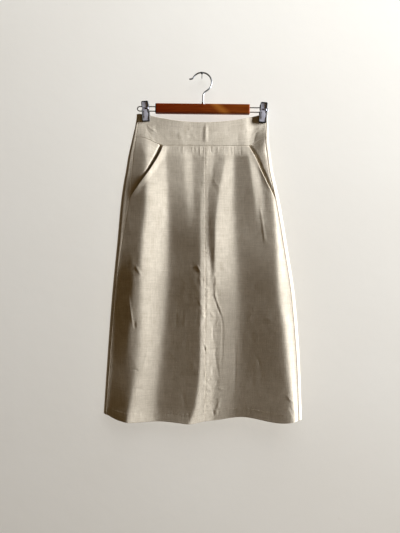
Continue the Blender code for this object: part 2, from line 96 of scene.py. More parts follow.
# Each fold: height, place across, depth (negative is to the front), width over which it turns.
FRONT_FOLDS = {
    "left_crest": (
        (GRIP, -0.153, -0.0013, 0.005), (SEAM, -0.146, -0.0055, 0.006), (-0.234, -0.149, -0.0115, 0.006),
        (HIP, -0.147, -0.0192, 0.006), (-0.451, -0.158, -0.02, 0.006), (-0.56, -0.163, -0.0235, 0.007),
        (-0.668, -0.163, -0.0232, 0.009), (-0.777, -0.172, -0.022, 0.013), (-0.885, -0.192, -0.0212, 0.006),
        (HEM, -0.199, -0.0245, 0.005),
    ),
    "left_valley": (
        (GRIP, -0.08, -0.005, 0.02), (SEAM, -0.094, -0.0058, 0.008), (-0.234, -0.0955, -0.008, 0.004),
        (HIP, -0.091, -0.0105, 0.005), (-0.451, -0.089, -0.0095, 0.006), (-0.56, -0.091, -0.015, 0.008),
        (-0.668, -0.1, -0.015, 0.009), (-0.777, -0.11, -0.015, 0.01), (-0.885, -0.122, -0.016, 0.01),
        (HEM, -0.122, -0.0195, 0.01),
    ),
    "middle_crest": (
        (GRIP, 0.01, -0.0064, 0.03), (SEAM, 0.01, -0.0088, 0.01), (-0.234, 0.008, -0.0128, 0.004),
        (-0.3, 0.0, -0.0165, 0.002), (HIP, -0.003, -0.0195, 0.002), (-0.451, -0.004, -0.0255, 0.002),
        (-0.56, -0.003, -0.032, 0.002), (-0.668, -0.003, -0.0332, 0.002), (-0.777, -0.005, -0.0345, 0.002),
        (-0.885, -0.018, -0.0358, 0.003), (HEM, -0.034, -0.037, 0.004),
    ),
    "seam_shoulder": (
        (GRIP, 0.03, -0.0067, 0.02), (SEAM, 0.03, -0.009, 0.006), (-0.234, 0.031, -0.0122, 0.003),
        (-0.288, 0.022, -0.0163, 0.003), (HIP, 0.0148, -0.0196, 0.002), (-0.451, 0.0158, -0.0256, 0.002),
        (-0.505, 0.0235, -0.0284, 0.002), (-0.56, 0.026, -0.0308, 0.002), (-0.668, 0.035, -0.0304, 0.004),
        (-0.777, 0.035, -0.0312, 0.004), (-0.885, 0.03, -0.0312, 0.004), (HEM, 0.028, -0.031, 0.004),
    ),
    "seam_ridge": (
        (GRIP, 0.062, -0.0058, 0.02), (SEAM, 0.062, -0.0098, 0.006), (-0.234, 0.061, -0.0149, 0.004),
        (-0.288, 0.052, -0.0202, 0.003), (HIP, 0.043, -0.0236, 0.003), (-0.425, 0.035, -0.0282, 0.002),
        (-0.465, 0.0345, -0.0298, 0.0015), (-0.505, 0.033, -0.0306, 0.0015),
        (-0.56, 0.0345, -0.0316, 0.003), (-0.614, 0.045, -0.0308, 0.006), (-0.668, 0.05, -0.0313, 0.008),
        (-0.777, 0.05, -0.0322, 0.008), (-0.885, 0.05, -0.0324, 0.008), (HEM, 0.05, -0.0324, 0.008),
    ),
    "right_valley": (
        (GRIP, 0.1, -0.0043, 0.02), (SEAM, 0.09, -0.0092, 0.008), (-0.234, 0.086, -0.013, 0.005),
        (HIP, 0.0855, -0.02, 0.006), (-0.451, 0.087, -0.0242, 0.008), (-0.56, 0.095, -0.029, 0.01),
        (-0.668, 0.097, -0.0324, 0.011), (-0.777, 0.094, -0.0335, 0.012), (-0.885, 0.082, -0.0345, 0.014),
        (HEM, 0.08, -0.0345, 0.014),
    ),
    "right_crest": (
        (GRIP, 0.166, -0.0013, 0.005), (SEAM, 0.168, -0.012, 0.004), (-0.234, 0.1715, -0.0208, 0.004),
        (-0.288, 0.178, -0.027, 0.004), (HIP, 0.187, -0.033, 0.005), (-0.451, 0.194, -0.041, 0.005),
        (-0.56, 0.198, -0.049, 0.006), (-0.614, 0.202, -0.0512, 0.006), (-0.668, 0.211, -0.0548, 0.007),
        (-0.777, 0.222, -0.0593, 0.008), (-0.885, 0.235, -0.0632, 0.007), (HEM, 0.239, -0.0645, 0.007),
    ),
}
BACK_FOLDS = {
    "back_left_crest": (
        (GRIP, -0.153, 0.0013, 0.005), (SEAM, -0.15, 0.006, 0.01), (HIP, -0.16, 0.014, 0.008),
        (MID, -0.17, 0.02, 0.008), (HEM, -0.185, 0.024, 0.009),
    ),
    "back_left_valley": (
        (GRIP, -0.075, 0.006, 0.02), (SEAM, -0.075, 0.007, 0.014), (HIP, -0.08, 0.008, 0.01),
        (MID, -0.085, 0.007, 0.012), (HEM, -0.08, 0.004, 0.014),
    ),
    "back_middle_crest": (
        (GRIP, 0.004, 0.008, 0.03), (SEAM, 0.004, 0.01, 0.014), (HIP, 0.006, 0.015, 0.008),
        (MID, 0.01, 0.02, 0.007), (HEM, 0.014, 0.024, 0.008),
    ),
    "back_right_valley": (
        (GRIP, 0.085, 0.006, 0.02), (SEAM, 0.085, 0.007, 0.014), (HIP, 0.095, 0.009, 0.01),
        (MID, 0.105, 0.01, 0.012), (HEM, 0.112, 0.011, 0.014),
    ),
    "back_right_crest": (
        (GRIP, 0.166, 0.0013, 0.005), (SEAM, 0.15, 0.006, 0.01), (HIP, 0.17, 0.011, 0.008),
        (MID, 0.18, 0.016, 0.008), (HEM, 0.186, 0.02, 0.009),
    ),
}
# Lesser folds: height, place across, how far each stands out from the flank it lies on, turn width.
FRONT_FLUTES = {
    "left_shoulder": (
        (-0.5, -0.184, 0.0, 0.006), (-0.56, -0.184, 0.0016, 0.005), (-0.668, -0.19, 0.0022, 0.005),
        (-0.735, -0.198, 0.0016, 0.006), (-0.8, -0.206, 0.0, 0.008),
    ),
    "mid_left_ridge": (
        (SEAM, -0.052, 0.0004, 0.008), (-0.234, -0.05, 0.0013, 0.005), (-0.3, -0.045, 0.001, 0.005),
        (HIP, -0.041, 0.0008, 0.005), (-0.43, -0.037, 0.0, 0.008),
    ),
    "mid_left_valley": (
        (SEAM, -0.028, -0.0004, 0.008), (-0.234, -0.0265, -0.0013, 0.004), (-0.3, -0.024, -0.001, 0.004),
        (HIP, -0.022, -0.0007, 0.004), (-0.42, -0.021, 0.0, 0.008),
    ),
    "pocket_ridge": (
        (SEAM, 0.118, 0.001, 0.005), (-0.234, 0.126, 0.0026, 0.003), (-0.288, 0.132, 0.0024, 0.003),
        (HIP, 0.1385, 0.0018, 0.003), (-0.43, 0.146, 0.0, 0.008),
    ),
    "pocket_valley": (
        (SEAM, 0.137, -0.0012, 0.006), (-0.234, 0.147, -0.0006, 0.004), (-0.288, 0.155, -0.0008, 0.004),
        (HIP, 0.162, -0.0008, 0.004), (-0.42, 0.168, 0.0, 0.008),
    ),
}
BACK_FLUTES = {
    "back_flute_1": (
        (SEAM, -0.118, -0.0006, 0.008), (-0.25, -0.119, -0.0022, 0.005), (HIP, -0.122, -0.0014, 0.006),
        (-0.42, -0.124, 0.0, 0.008),
    ),
    "back_flute_2": (
        (SEAM, -0.046, 0.0008, 0.008), (-0.245, -0.044, 0.003, 0.004), (-0.33, -0.04, 0.0022, 0.004),
        (-0.43, -0.036, 0.0, 0.008),
    ),
    "back_flute_3": (
        (SEAM, -0.018, -0.0004, 0.006), (-0.245, -0.017, -0.0022, 0.004), (-0.33, -0.016, -0.0014, 0.004),
        (-0.43, -0.016, 0.0, 0.008),
    ),
    "back_flute_4": (
        (SEAM, 0.04, -0.0006, 0.006), (-0.25, 0.038, -0.0026, 0.003), (-0.36, 0.034, -0.003, 0.003),
        (-0.48, 0.03, 0.0, 0.006),
    ),
    "back_flute_5": (
        (SEAM, 0.062, 0.0008, 0.008), (-0.25, 0.06, 0.0034, 0.004), (-0.35, 0.054, 0.0026, 0.004),
        (-0.47, 0.048, 0.0, 0.008),
    ),
    "back_flute_6": (
        (SEAM, 0.126, 0.0006, 0.008), (-0.25, 0.13, 0.003, 0.004), (-0.34, 0.136, 0.002, 0.005),
        (-0.43, 0.14, 0.0, 0.008),
    ),
}
MOUTH_TOP = {"left": -0.106, "right": 0.125}  # where each pocket mouth leaves the band seam
BAG_INNER = {"left": -0.074, "right": 0.092}  # inner edge of each pocket bag
# Height, how far each pocket mouth stands open.
MOUTH_OPEN = {
    "left": (
        (SEAM, 0.0008), (-0.21, 0.0022), (-0.234, 0.0026), (-0.275, 0.0022), (-0.315, 0.0012), (HIP, 0.0),
    ),
    "right": ((SEAM, 0.0002), (-0.215, 0.0008), (-0.26, 0.0008), (-0.31, 0.0005), (HIP, 0.0)),
}
OPEN_REACH = {"left": 0.016, "right": 0.01}  # width of the front that bows out beside each mouth
MOUTH_BOW = {"left": 0.015, "right": 0.0}  # how far each mouth bows toward the middle
# Height, how far the hip piece lies back beside each mouth.
MOUTH_HOLLOW = {
    "left": (
        (SEAM, 0.006), (-0.212, 0.01), (-0.24, 0.0085), (-0.29, 0.004), (-0.325, 0.0022), (HIP, 0.0018),
    ),
    "right": ((SEAM, 0.0016), (-0.25, 0.0018), (HIP, 0.0016)),
}
OPEN_SOFTNESS = 0.15  # share of the reach over which the bowing eases in
HOLLOW_REACH = {"left": 0.011, "right": 0.01}  # width of the hip piece that lies back


# ---- the cloth's form ----
def smooth(share):
    share = np.clip(share, 0.0, 1.0)
    return share * share * (3.0 - 2.0 * share)


def at_height(height, rows):
    """Values at a height, on a curve through the rows that never swings past them."""
    table = np.array(rows, float)
    knots, values = -table[:, 0], table[:, 1:]
    steps = np.diff(knots)[:, None]
    rates = np.diff(values, axis=0) / steps
    product, total = rates[:-1] * rates[1:], rates[:-1] + rates[1:]
    slopes = np.zeros_like(values)
    slopes[1:-1] = np.where(product > 0, 2 * product / np.where(total == 0, 1, total), 0)
    slopes[-1] = rates[-1]
    where = float(np.clip(-height, knots[0], knots[-1]))
    i = min(int(np.searchsorted(knots, where, side="right")) - 1, len(knots) - 2)
    t = (where - knots[i]) / steps[i]
    rest = 1 - t
    return (
        values[i] * (1 + 2 * t) * rest**2
        + values[i + 1] * (1 + 2 * rest) * t**2
        + steps[i] * (slopes[i] * t * rest**2 - slopes[i + 1] * rest * t**2)
    )


def folded(x, stations):
    """Depth across the cloth: straight flanks between stations, each turned over its own width."""
    across, depth, width = np.array(stations).T
    across = np.maximum.accumulate(across) + 1e-5 * np.arange(len(across))
    turns = np.diff(np.diff(depth) / np.diff(across)) / 2

    def bent(at):
        offset = np.subtract.outer(np.atleast_1d(at), across[1:-1])
        return np.hypot(offset, width[1:-1]) @ turns

    low, high = bent(across[0])[0], bent(across[-1])[0]
    ends = np.interp(x, across[[0, -1]], [depth[0] - low, depth[-1] - high])
    return bent(x) + ends


def rise(x, height):
    """How far the cloth at this place is above its height on the middle line."""
    top_rise = TOP_RISE * np.minimum(np.abs(x) / CLIP_REACH, 1.0) ** 2
    seam_rise = SEAM_RISE * (
        smooth((-x - SEAM_RISE_FROM["left"]) / SEAM_RISE_OVER["left"])
        + smooth((x - SEAM_RISE_FROM["right"]) / SEAM_RISE_OVER["right"])
    )
    share = np.clip((height - SEAM) / (TOP - SEAM), 0.0, 1.0)
    fade = 1.0 - smooth((SEAM - height) / RISE_FADE)
    low = smooth((HEM_LIFT_FROM - height) / HEM_LIFT_OVER)
    across, lifts = np.array(HEM_LINE).T
    hem_lift = sum(np.interp(x + step, across, lifts) for step in HEM_ROUNDING) / len(HEM_ROUNDING)
    return (top_rise * share + seam_rise * (1.0 - share)) * fade + hem_lift * low - x * math.tan(TILT)


class Ring:
    """The skirt's cross-section at one height: along the front from left to right, then the back."""

    FACE_STEPS = 460
    TURN_STEPS = 28
    LEVEL_END = 0.003  # level stretch before the cloth turns at each side

    def __init__(self, height):
        self.height = height
        left, right = at_height(height, OUTLINE)
        radius, *depths = at_height(height, SIDE_TURN)
        inner = (left + radius, right - radius)
        x = np.linspace(*inner, self.FACE_STEPS + 1)

        def face(folds, flutes, toward):
            depth = [d + toward * radius for d in depths]
            level = self.LEVEL_END
            main = [
                (inner[0], depth[0], level),
                (inner[0] + level, depth[0], level),
                *(at_height(height, rows) for rows in folds.values()),
                (inner[1] - level, depth[1], level),
                (inner[1], depth[1], level),
            ]
            across, flank, _ = np.array(main).T
            for rows in flutes.values():
                place, stands, width = at_height(height, rows)
                main.append((place, np.interp(place, across, flank) + toward * stands, width))
            return folded(x, sorted(main, key=lambda station: station[0]))

        def turn(side, start):
            angles = np.radians(start) + np.linspace(0, math.pi, self.TURN_STEPS + 1)
            points = [inner[side] + radius * np.cos(angles), depths[side] + radius * np.sin(angles)]
            return np.column_stack(points)

        front = np.column_stack([x, face(FRONT_FOLDS, FRONT_FLUTES, -1)])
        back = np.column_stack([x, face(BACK_FOLDS, BACK_FLUTES, 1)])[::-1]
        self.points = np.vstack([front, turn(1, -90)[1:], back[1:], turn(0, 90)[1:]])
        self.lengths = np.concatenate([[0.0], np.cumsum(np.hypot(*np.diff(self.points, axis=0).T))])
        self.total = self.lengths[-1]
        slopes = np.gradient(self.points, self.lengths, axis=0)
        self.slopes = slopes / np.hypot(*slopes.T)[:, None]

    def on_front(self, x):
        stretch = slice(0, self.FACE_STEPS + 1)
        return float(np.interp(x, self.points[stretch, 0], self.lengths[stretch]))

    def on_back(self, x):
        first = self.FACE_STEPS + self.TURN_STEPS
        stretch = slice(first, first + self.FACE_STEPS + 1)
        return float(np.interp(-x, -self.points[stretch, 0], self.lengths[stretch]))

    def across(self, lengths):
        return np.interp(np.mod(lengths, self.total), self.lengths, self.points[:, 0])

    def facing(self, lengths):
        """1 on the front, -1 on the back, and between them on the turns."""
        wrapped = np.mod(lengths, self.total)
        return np.interp(wrapped, self.lengths, self.slopes[:, 0])

    def place(self, lengths, outward):
        wrapped = np.mod(lengths, self.total)
        x, y = (np.interp(wrapped, self.lengths, column) for column in self.points.T)
        along_x, along_y = (np.interp(wrapped, self.lengths, column) for column in self.slopes.T)
        lift = self.height + rise(x, self.height)
        return np.column_stack([x + outward * along_y, y - outward * along_x, lift])


@lru_cache(maxsize=None)
def ring_at(height):
    return Ring(height)


# ---- seam lines: each gives a length round a ring ----
def side_seam(ring, side):
    left, right = at_height(ring.height, OUTLINE)
    inset = at_height(ring.height, SIDE_SEAM)[("left", "right").index(side)]
    return ring.on_front(left + inset if side == "left" else right - inset)


@lru_cache(maxsize=None)
def mouth_end(side):
    low = ring_at(HIP)
    return float(low.across(side_seam(low, side)))


def mouth_line(ring, side):
    """The edge of the front panel: the pocket mouth, and the side seam below it."""
    share = max((SEAM - ring.height) / (SEAM - HIP), 0.0)
    if share >= 1:
        return side_seam(ring, side)
    straight = MOUTH_TOP[side] + (mouth_end(side) - MOUTH_TOP[side]) * share
    bow = MOUTH_BOW[side] * (1 if side == "left" else -1)
    return ring.on_front(straight + 4 * bow * share * (1 - share) ** 2)


def centre_front(ring):
    return ring.on_front(CENTRE_FRONT)


def centre_back(ring):
    return ring.on_back(CENTRE_BACK)


def bag_inner(ring, side):
    return ring.on_front(BAG_INNER[side])


def on(line, side):
    """A line or a shape of one side, as a function of the ring and what else it takes."""
    return lambda ring, *rest: line(ring, *rest, side)


def around(line, side):
    """A line of the front reached after passing the ring's start."""
    return lambda ring: line(ring, side) + ring.total


def mouth_lift(ring, lengths, side):
    """How far the front bows out beside a pocket mouth."""
    if not HIP < ring.height < SEAM:
        return np.zeros(len(lengths))
    left_over = 1 - np.abs(lengths - mouth_line(ring, side)) / OPEN_REACH[side]
    return at_height(ring.height, MOUTH_OPEN[side])[0] * (np.hypot(left_over, OPEN_SOFTNESS) + left_over) / 2


def hip_set_back(ring, lengths, side):
    """How far the hip piece lies back: level with the skirt at the side, behind it at the mouth."""
    outside = (mouth_line(ring, side) - lengths) * (1 if side == "left" else -1)
    hollow = at_height(ring.height, MOUTH_HOLLOW[side])[0]
    return -hollow * (1 - smooth(outside / HOLLOW_REACH[side])) - BEHIND_FRONT * (outside < 0)


# ---- creases ----
# Half width, how far it stands out, then the points it passes: across and height.
FRONT_CREASES = (
    (0.003, -0.0006, (
        (0.027, -0.548), (0.028, -0.594), (0.039, -0.626), (0.05, -0.655), (0.055, -0.68),
        (0.053, -0.733), (0.049, -0.826),
    )),
    (0.0024, 0.0007, ((0.033, -0.56), (0.035, -0.6), (0.046, -0.63), (0.058, -0.66))),
    (0.0022, -0.0009, ((0.0245, -0.668), (0.03, -0.684), (0.027, -0.7), (0.032, -0.725))),
    (0.0022, -0.0008, ((0.03, -0.73), (0.038, -0.772), (0.045, -0.826))),
    (0.002, -0.0008, ((0.0155, -0.816), (0.0235, -0.818))),
    (0.0026, 0.0008, ((0.042, -0.843), (0.062, -0.848))),
    (0.0024, -0.0009, ((0.028, -0.894), (0.031, -0.912))),
    (0.003, -0.0008, ((-0.1785, -0.668), (-0.1775, -0.69))),
    (0.0028, 0.0008, ((-0.196, -0.592), (-0.19, -0.64), (-0.183, -0.688))),
    (0.0028, -0.0008, ((-0.192, -0.795), (-0.178, -0.79), (-0.165, -0.8))),
    (0.0022, 0.0009, ((-0.015, -0.518), (-0.008, -0.528), (-0.003, -0.54))),
    (0.0026, 0.0003, ((0.026, -0.283), (0.038, -0.302), (0.052, -0.32))),
    (0.0024, -0.0002, ((0.022, -0.296), (0.032, -0.314), (0.044, -0.33))),
    (0.004, 0.0007, ((-0.16, -0.548), (-0.168, -0.538), (-0.178, -0.52))),
    (0.0034, -0.0006, ((-0.15, -0.846), (-0.168, -0.838), (-0.19, -0.842))),
    (0.003, 0.0005, ((-0.135, -0.735), (-0.15, -0.76), (-0.158, -0.8))),
    (0.0035, -0.0005, ((0.085, -0.7), (0.088, -0.78), (0.084, -0.86))),
    (0.0035, 0.0005, ((0.15, -0.35), (0.158, -0.4), (0.166, -0.47))),
    (0.003, 0.0006, ((0.216, -0.85), (0.226, -0.868), (0.24, -0.876))),
    (0.003, -0.0007, ((0.222, -0.88), (0.232, -0.9), (0.238, -0.918))),
    (0.003, 0.0006, ((-0.15, -0.16), (-0.138, -0.168), (-0.12, -0.172))),
    (0.0026, -0.0005, ((-0.152, -0.166), (-0.143, -0.178), (-0.132, -0.19))),
    (0.003, 0.0005, ((0.16, -0.16), (0.15, -0.17), (0.135, -0.176))),
    (0.006, 0.0013, ((0.0105, -0.136), (0.01, -0.168), (0.009, -0.196))),
    (0.0036, -0.0006, ((0.15, -0.166), (0.143, -0.182), (0.138, -0.196))),
)
BACK_CREASES = (
    (0.003, -0.0008, ((0.018, -0.52), (0.024, -0.58), (0.04, -0.64), (0.046, -0.72))),
    (0.0024, 0.0007, ((-0.02, -0.47), (-0.014, -0.52), (-0.01, -0.56))),
    (0.0026, 0.0008, ((-0.06, -0.3), (-0.048, -0.33), (-0.036, -0.345))),
    (0.003, -0.0009, ((0.15, -0.66), (0.16, -0.7), (0.158, -0.74))),
    (0.0034, 0.0006, ((-0.15, -0.8), (-0.13, -0.812), (-0.105, -0.808))),
    (0.0028, -0.0007, ((-0.185, -0.56), (-0.178, -0.62), (-0.172, -0.68))),
    (0.0026, 0.0007, ((0.11, -0.42), (0.122, -0.47), (0.126, -0.52))),
    (0.003, -0.0006, ((0.06, -0.86), (0.075, -0.852), (0.095, -0.858))),
)


CREASE_DEPTH = 0.65  # share of its stated depth that a crease reaches in the middle
CREASE_ENDS = 0.3  # share of its length over which each end dies out
CREASE_LIPS = 0.6  # how strongly the cloth beside it goes the other way


def eased(path):
    """The path with its corners cut twice."""
    for _ in range(2):
        cut = [path[0]]
        for a, b in zip(path[:-1], path[1:]):
            cut += [0.75 * a + 0.25 * b, 0.25 * a + 0.75 * b]
        path = np.array([*cut, path[-1]])
    return path


def creased(x, height, creases):
    """How far all these creases push the cloth out, over a grid of places."""
    pushed = np.zeros_like(x)
    for half_width, stands, points in creases:
        path = eased(np.array(points, float))
        reach = 3 * half_width
        (left, low), (right, high) = path.min(axis=0) - reach, path.max(axis=0) + reach
        near = np.flatnonzero((x > left) & (x < right) & (height > low) & (height < high))
        if not len(near):
            continue
        at = np.column_stack([x.flat[near], height.flat[near]])
        best = np.full(len(near), 1.0)
        along = np.zeros(len(near))
        passed = 0.0
        for a, b in zip(path[:-1], path[1:]):
            way = b - a
            size = math.hypot(*way)
            t = np.clip((at - a) @ way / size**2, 0, 1)
            away = np.hypot(*(at - a - t[:, None] * way).T)
            closer = away < best
            best = np.where(closer, away, best)
            along = np.where(closer, passed + t * size, along)
            passed += size
        share = along / passed
        taper = CREASE_DEPTH * smooth(share / CREASE_ENDS) * smooth((1 - share) / CREASE_ENDS)
        u = (best / half_width) ** 2
        pushed.flat[near] += stands * taper * (1 - CREASE_LIPS * u) * np.exp(-u)
    return pushed


def scattered(rng, count, area, lean, size, half_width, stands):
    """Small buckles at chance places, most of them close to one lean from upright."""
    made = []
    for _ in range(count):
        x, height = rng.uniform(area[0], area[1]), rng.uniform(area[2], area[3])
        angle = rng.normal(*lean)
        length = rng.uniform(*size)
        way = np.array([math.sin(angle), math.cos(angle)]) * length / 2
        side = np.array([way[1], -way[0]]) * rng.uniform(-0.3, 0.3)
        middle = np.array([x, height])
        half, push = rng.uniform(*half_width), stands * rng.uniform(0.4, 1.0) * rng.choice((-1, 1))
        made.append((half, push, (middle - way, middle + side, middle + way)))
    return made


def puckers(rng, seam_x, heights, spacing, size, stands):
    """Short ridges that leave an upright seam on both sides, as its thread draws it up."""
    made = []
    height = heights[0]
    while height > heights[1]:
        for way in (-1, 1):
            start = seam_x + way * 0.0015
            length = rng.uniform(*size)
            fall = rng.uniform(-0.35, 0.35) * length
            half, push = rng.uniform(0.0011, 0.0018), stands * rng.uniform(0.3, 1.0)
            ends = ((start - way * length * 0.4, height), (start + way * length, height + fall))
            made.append((half, push, ends))
        height -= rng.uniform(*spacing)
    return made


def drawn_up(rng, height, places, spacing, size, stands):
    """Upright puckers hanging from a level seam."""
    made = []
    x = places[0]
    while x < places[1]:
        length = rng.uniform(*size)
        half, push = rng.uniform(0.002, 0.004), stands * rng.uniform(0.3, 1.0) * rng.choice((-1, 1))
        foot = (x + rng.uniform(-0.002, 0.002), height - length)
        made.append((half, push, ((x, height + length * 0.35), foot)))
        x += rng.uniform(*spacing)
    return made


def all_creases(seed, own, seam_x, places):
    """The listed creases, then the seams' puckers, then the small buckles of the cloth."""
    rng = np.random.default_rng(seed)
    made = list(own)
    made += puckers(rng, seam_x, (-0.205, HEM + 0.02), (0.007, 0.016), (0.004, 0.01), 0.00105)
    made += drawn_up(rng, SEAM - 0.006, places, (0.006, 0.014), (0.01, 0.032), 0.0005)
    made += drawn_up(rng, HEM + HEM_DEPTH, (-0.25, 0.25), (0.007, 0.014), (0.006, 0.018), 0.00034)
    # Count, area (left, right, low, high), lean, length, half width, how far they stand out.
    for buckles in (
        (130, (-0.24, 0.24, -0.88, -0.22), (0.0, 0.5), (0.02, 0.06), (0.004, 0.008), 0.00022),
        (60, (-0.24, 0.24, -0.9, -0.55), (1.4, 0.5), (0.012, 0.035), (0.003, 0.005), 0.00018),
        (46, (seam_x - 0.012, seam_x + 0.038, -0.905, -0.52), (0.1, 0.4), (0.014, 0.04),
         (0.0026, 0.005), 0.00066),
        (30, (-0.16, 0.16, -0.19, -0.14), (0.0, 0.3), (0.012, 0.03), (0.003, 0.006), 0.00036),
    ):
        made += scattered(rng, *buckles)
    return made


CREASES = {  # on the front and on the back
    1: all_creases(7, FRONT_CREASES, CENTRE_FRONT, (-0.1, 0.12)),
    -1: all_creases(23, BACK_CREASES, CENTRE_BACK, (-0.14, 0.14)),
}


def all_pushed(across, heights, facing):
    """How far the creases of the front and of the back push the cloth out."""
    return sum(creased(across, heights, made) * smooth(side * facing) for side, made in CREASES.items())


# ---- mesh helpers ----
def put(name, mesh, material):
    """An object of this mesh and material, in the scene."""
    mesh.materials.clear()
    mesh.materials.append(material)
    obj = bpy.data.objects.new(name, mesh)
    bpy.context.scene.collection.objects.link(obj)
    return obj


def add_object(name, mesh, material, body):
    obj = put(name, mesh, material)
    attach(obj, body)
    return obj


def mesh_of(name, points, faces, smooth_faces=True):
    mesh = bpy.data.meshes.new(name)
    mesh.from_pydata(np.asarray(points).tolist(), [], faces)
    if smooth_faces:
        mesh.shade_smooth()
    return mesh


def quads(rows, columns, closed=False):
    """Faces of a grid of points; a closed one joins its last column to its first."""
    faces = []
    for r in range(rows - 1):
        for c in range(columns if closed else columns - 1):
            here, beside = r * columns + c, r * columns + (c + 1) % columns
            faces.append((here, here + columns, beside + columns, beside))
    return faces


def capped_tube(name, points, rows, sides):
    """A closed body from rings of points, with a flat face at each end."""
    faces = [face[::-1] for face in quads(rows, sides, closed=True)]
    faces += [tuple(range(sides))[::-1], tuple(range((rows - 1) * sides, rows * sides))]
    return mesh_of(name, points, faces)


def face_out(mesh, weld=False):
    """Turns the faces outward, and joins the points of loose caps if asked."""
    shape = bmesh.new()
    shape.from_mesh(mesh)
    if weld:
        bmesh.ops.remove_doubles(shape, verts=shape.verts, dist=1e-6)
    bmesh.ops.recalc_face_normals(shape, faces=shape.faces)
    shape.to_mesh(mesh)
    shape.free()


def circle(count, start=0.0):
    return np.linspace(start, start + 2 * math.pi, count, endpoint=False)


def modifier(obj, kind, **values):
    made = obj.modifiers.new(kind.lower(), kind)
    for key, value in values.items():
        setattr(made, key, value)
    return made


# ---- sewn pieces ----
CROWD = (0.0017, 0.0027, 0.0042)  # distances from an edge of the first plain rows or columns
RAW_EDGE = [(0.0, 0.0)]


def turned_edge(allowance, radius=EDGE_TURN):
    """(distance from the edge, shift) from the cloth turned under, round to the outer face."""
    flat = np.linspace(allowance, 0.003, max(3, int(allowance / 0.004)))
    angles = np.radians(np.arange(180, -1, -30))
    turn = [(radius - radius * math.sin(a), radius * math.cos(a) - radius) for a in angles]
    return [(away, -2 * radius) for away in flat] + turn


SEAM_EDGE = turned_edge(ALLOWANCE)
MOUTH_EDGE = turned_edge(0.012, 0.0009)
BAND_EDGE = turned_edge(0.014, 0.0009)
HEM_EDGE = turned_edge(HEM_DEPTH)


def rows_between(top, bottom, step, top_edge, bottom_edge):
    """(height, shift) of each row, from the top edge down."""
    plain = np.linspace(top - CROWD[-1], bottom + CROWD[-1], max(2, round((top - bottom) / step)))
    rows = [(top - away, shift) for away, shift in top_edge]
    rows += [(top - away, 0.0) for away in CROWD[:-1]]
    rows += [(height, 0.0) for height in plain]
    rows += [(bottom + away, 0.0) for away in CROWD[-2::-1]]
    return rows + [(bottom + away, shift) for away, shift in bottom_edge[::-1]]


def columns_between(first, last, count, first_edge, last_edge):
    """Lengths round the ring, and the shift at each, from one edge to the other."""
    room = last - first
    near = np.array(CROWD) * min(1.0, room / (3 * CROWD[-1]))
    starts, ends = (
        np.array([(min(away, 0.4 * room), shift) for away, shift in edge])
        for edge in (first_edge, last_edge)
    )
    plain = np.linspace(first + near[-1], last - near[-1], count)
    ends = ends[::-1]
    lengths = [first + starts[:, 0], first + near[:-1], plain, last - near[-2::-1], last - ends[:, 0]]
    shifts = [starts[:, 1], np.zeros(count + 2 * len(CROWD) - 2), ends[:, 1]]
    return np.concatenate(lengths), np.concatenate(shifts)


def sew(node, span, rows, step, edges, slot="linen", back=0.0, shape=None, thickness=LAYER,
        grain_from=centre_front, hangs_from=()):
    """One sewn piece: a grid of cloth between two lines, given its thickness inward."""
    name = node + "_cloth"
    rings = [ring_at(height) for height, _ in rows]
    ends = [(span[0](ring) + SEAM_GAP / 2, span[1](ring) - SEAM_GAP / 2) for ring in rings]
    count = max(3, round(max(last - first for first, last in ends) / step))
    laid = [columns_between(*pair, count, *edges) for pair in ends]
    lengths = np.array([row for row, _ in laid])
    shifts = np.array([np.minimum(shift, row[1]) for (_, shift), row in zip(laid, rows)])
    shifts += OUTER - back
    if shape:
        shifts += np.array([shape(ring, row) for ring, row in zip(rings, lengths)])
    heights = np.repeat([[height] for height, _ in rows], lengths.shape[1], axis=1)
    across = np.array([ring.across(row) for ring, row in zip(rings, lengths)])
    facing = np.array([ring.facing(row) for ring, row in zip(rings, lengths)])
    shifts += all_pushed(across, heights, facing)
    grid = np.array([ring.place(*pair) for ring, *pair in zip(rings, lengths, shifts)])
    mesh = mesh_of(name, grid.reshape(-1, 3), quads(*lengths.shape))
    starts = np.array([grain_from(ring) for ring in rings])[:, None]
    grain = np.dstack([lengths - starts, heights]).reshape(-1, 2)
    corners = np.empty(len(mesh.loops), np.int32)
    mesh.loops.foreach_get("vertex_index", corners)
    layer = mesh.uv_layers.new(name="cloth")
    layer.uv.foreach_set("vector", grain[corners].astype(np.float32).ravel())
    area = sum(face.area for face in mesh.polygons)
    width, length = (np.linalg.norm(np.diff(grid, axis=axis), axis=2).sum(axis).max() for axis in (1, 0))
    obj = add_object(name, mesh, CLOTHS[slot], "skirt")
    modifier(obj, "SOLIDIFY", thickness=thickness, offset=-1.0)
    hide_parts(node)
    CUTS[obj] = {"flat": (width, length), "area": area, "rests_on": hangs_from}
    return obj


def outer_first(side, outer, inner):
    """The two in their order along the front, from left to right."""
    return (outer, inner) if side == "left" else (inner, outer)


CUTS = {}  # the flat size of each sewn piece
BAND_STEP = 0.0024
STEP, BACK_STEP, POCKET_STEP = ((0.0027, 0.0034, 0.003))


def add_waistband():
    pads = [f"clip_{side}_pad_{face}" for side in ("left", "right") for face in ("front", "back")]
    rows = rows_between(TOP, SEAM + SEAM_GAP / 2, BAND_STEP, BAND_EDGE, SEAM_EDGE)
    for node, span, line in (
        ("waistband_front", (on(side_seam, "left"), on(side_seam, "right")), centre_front),
        ("waistband_back_right", (on(side_seam, "right"), centre_back), centre_back),
        ("waistband_back_left", (centre_back, around(side_seam, "left")), centre_back),
    ):
        sew(node, span, rows, STEP, (SEAM_EDGE, SEAM_EDGE), grain_from=line, hangs_from=pads)


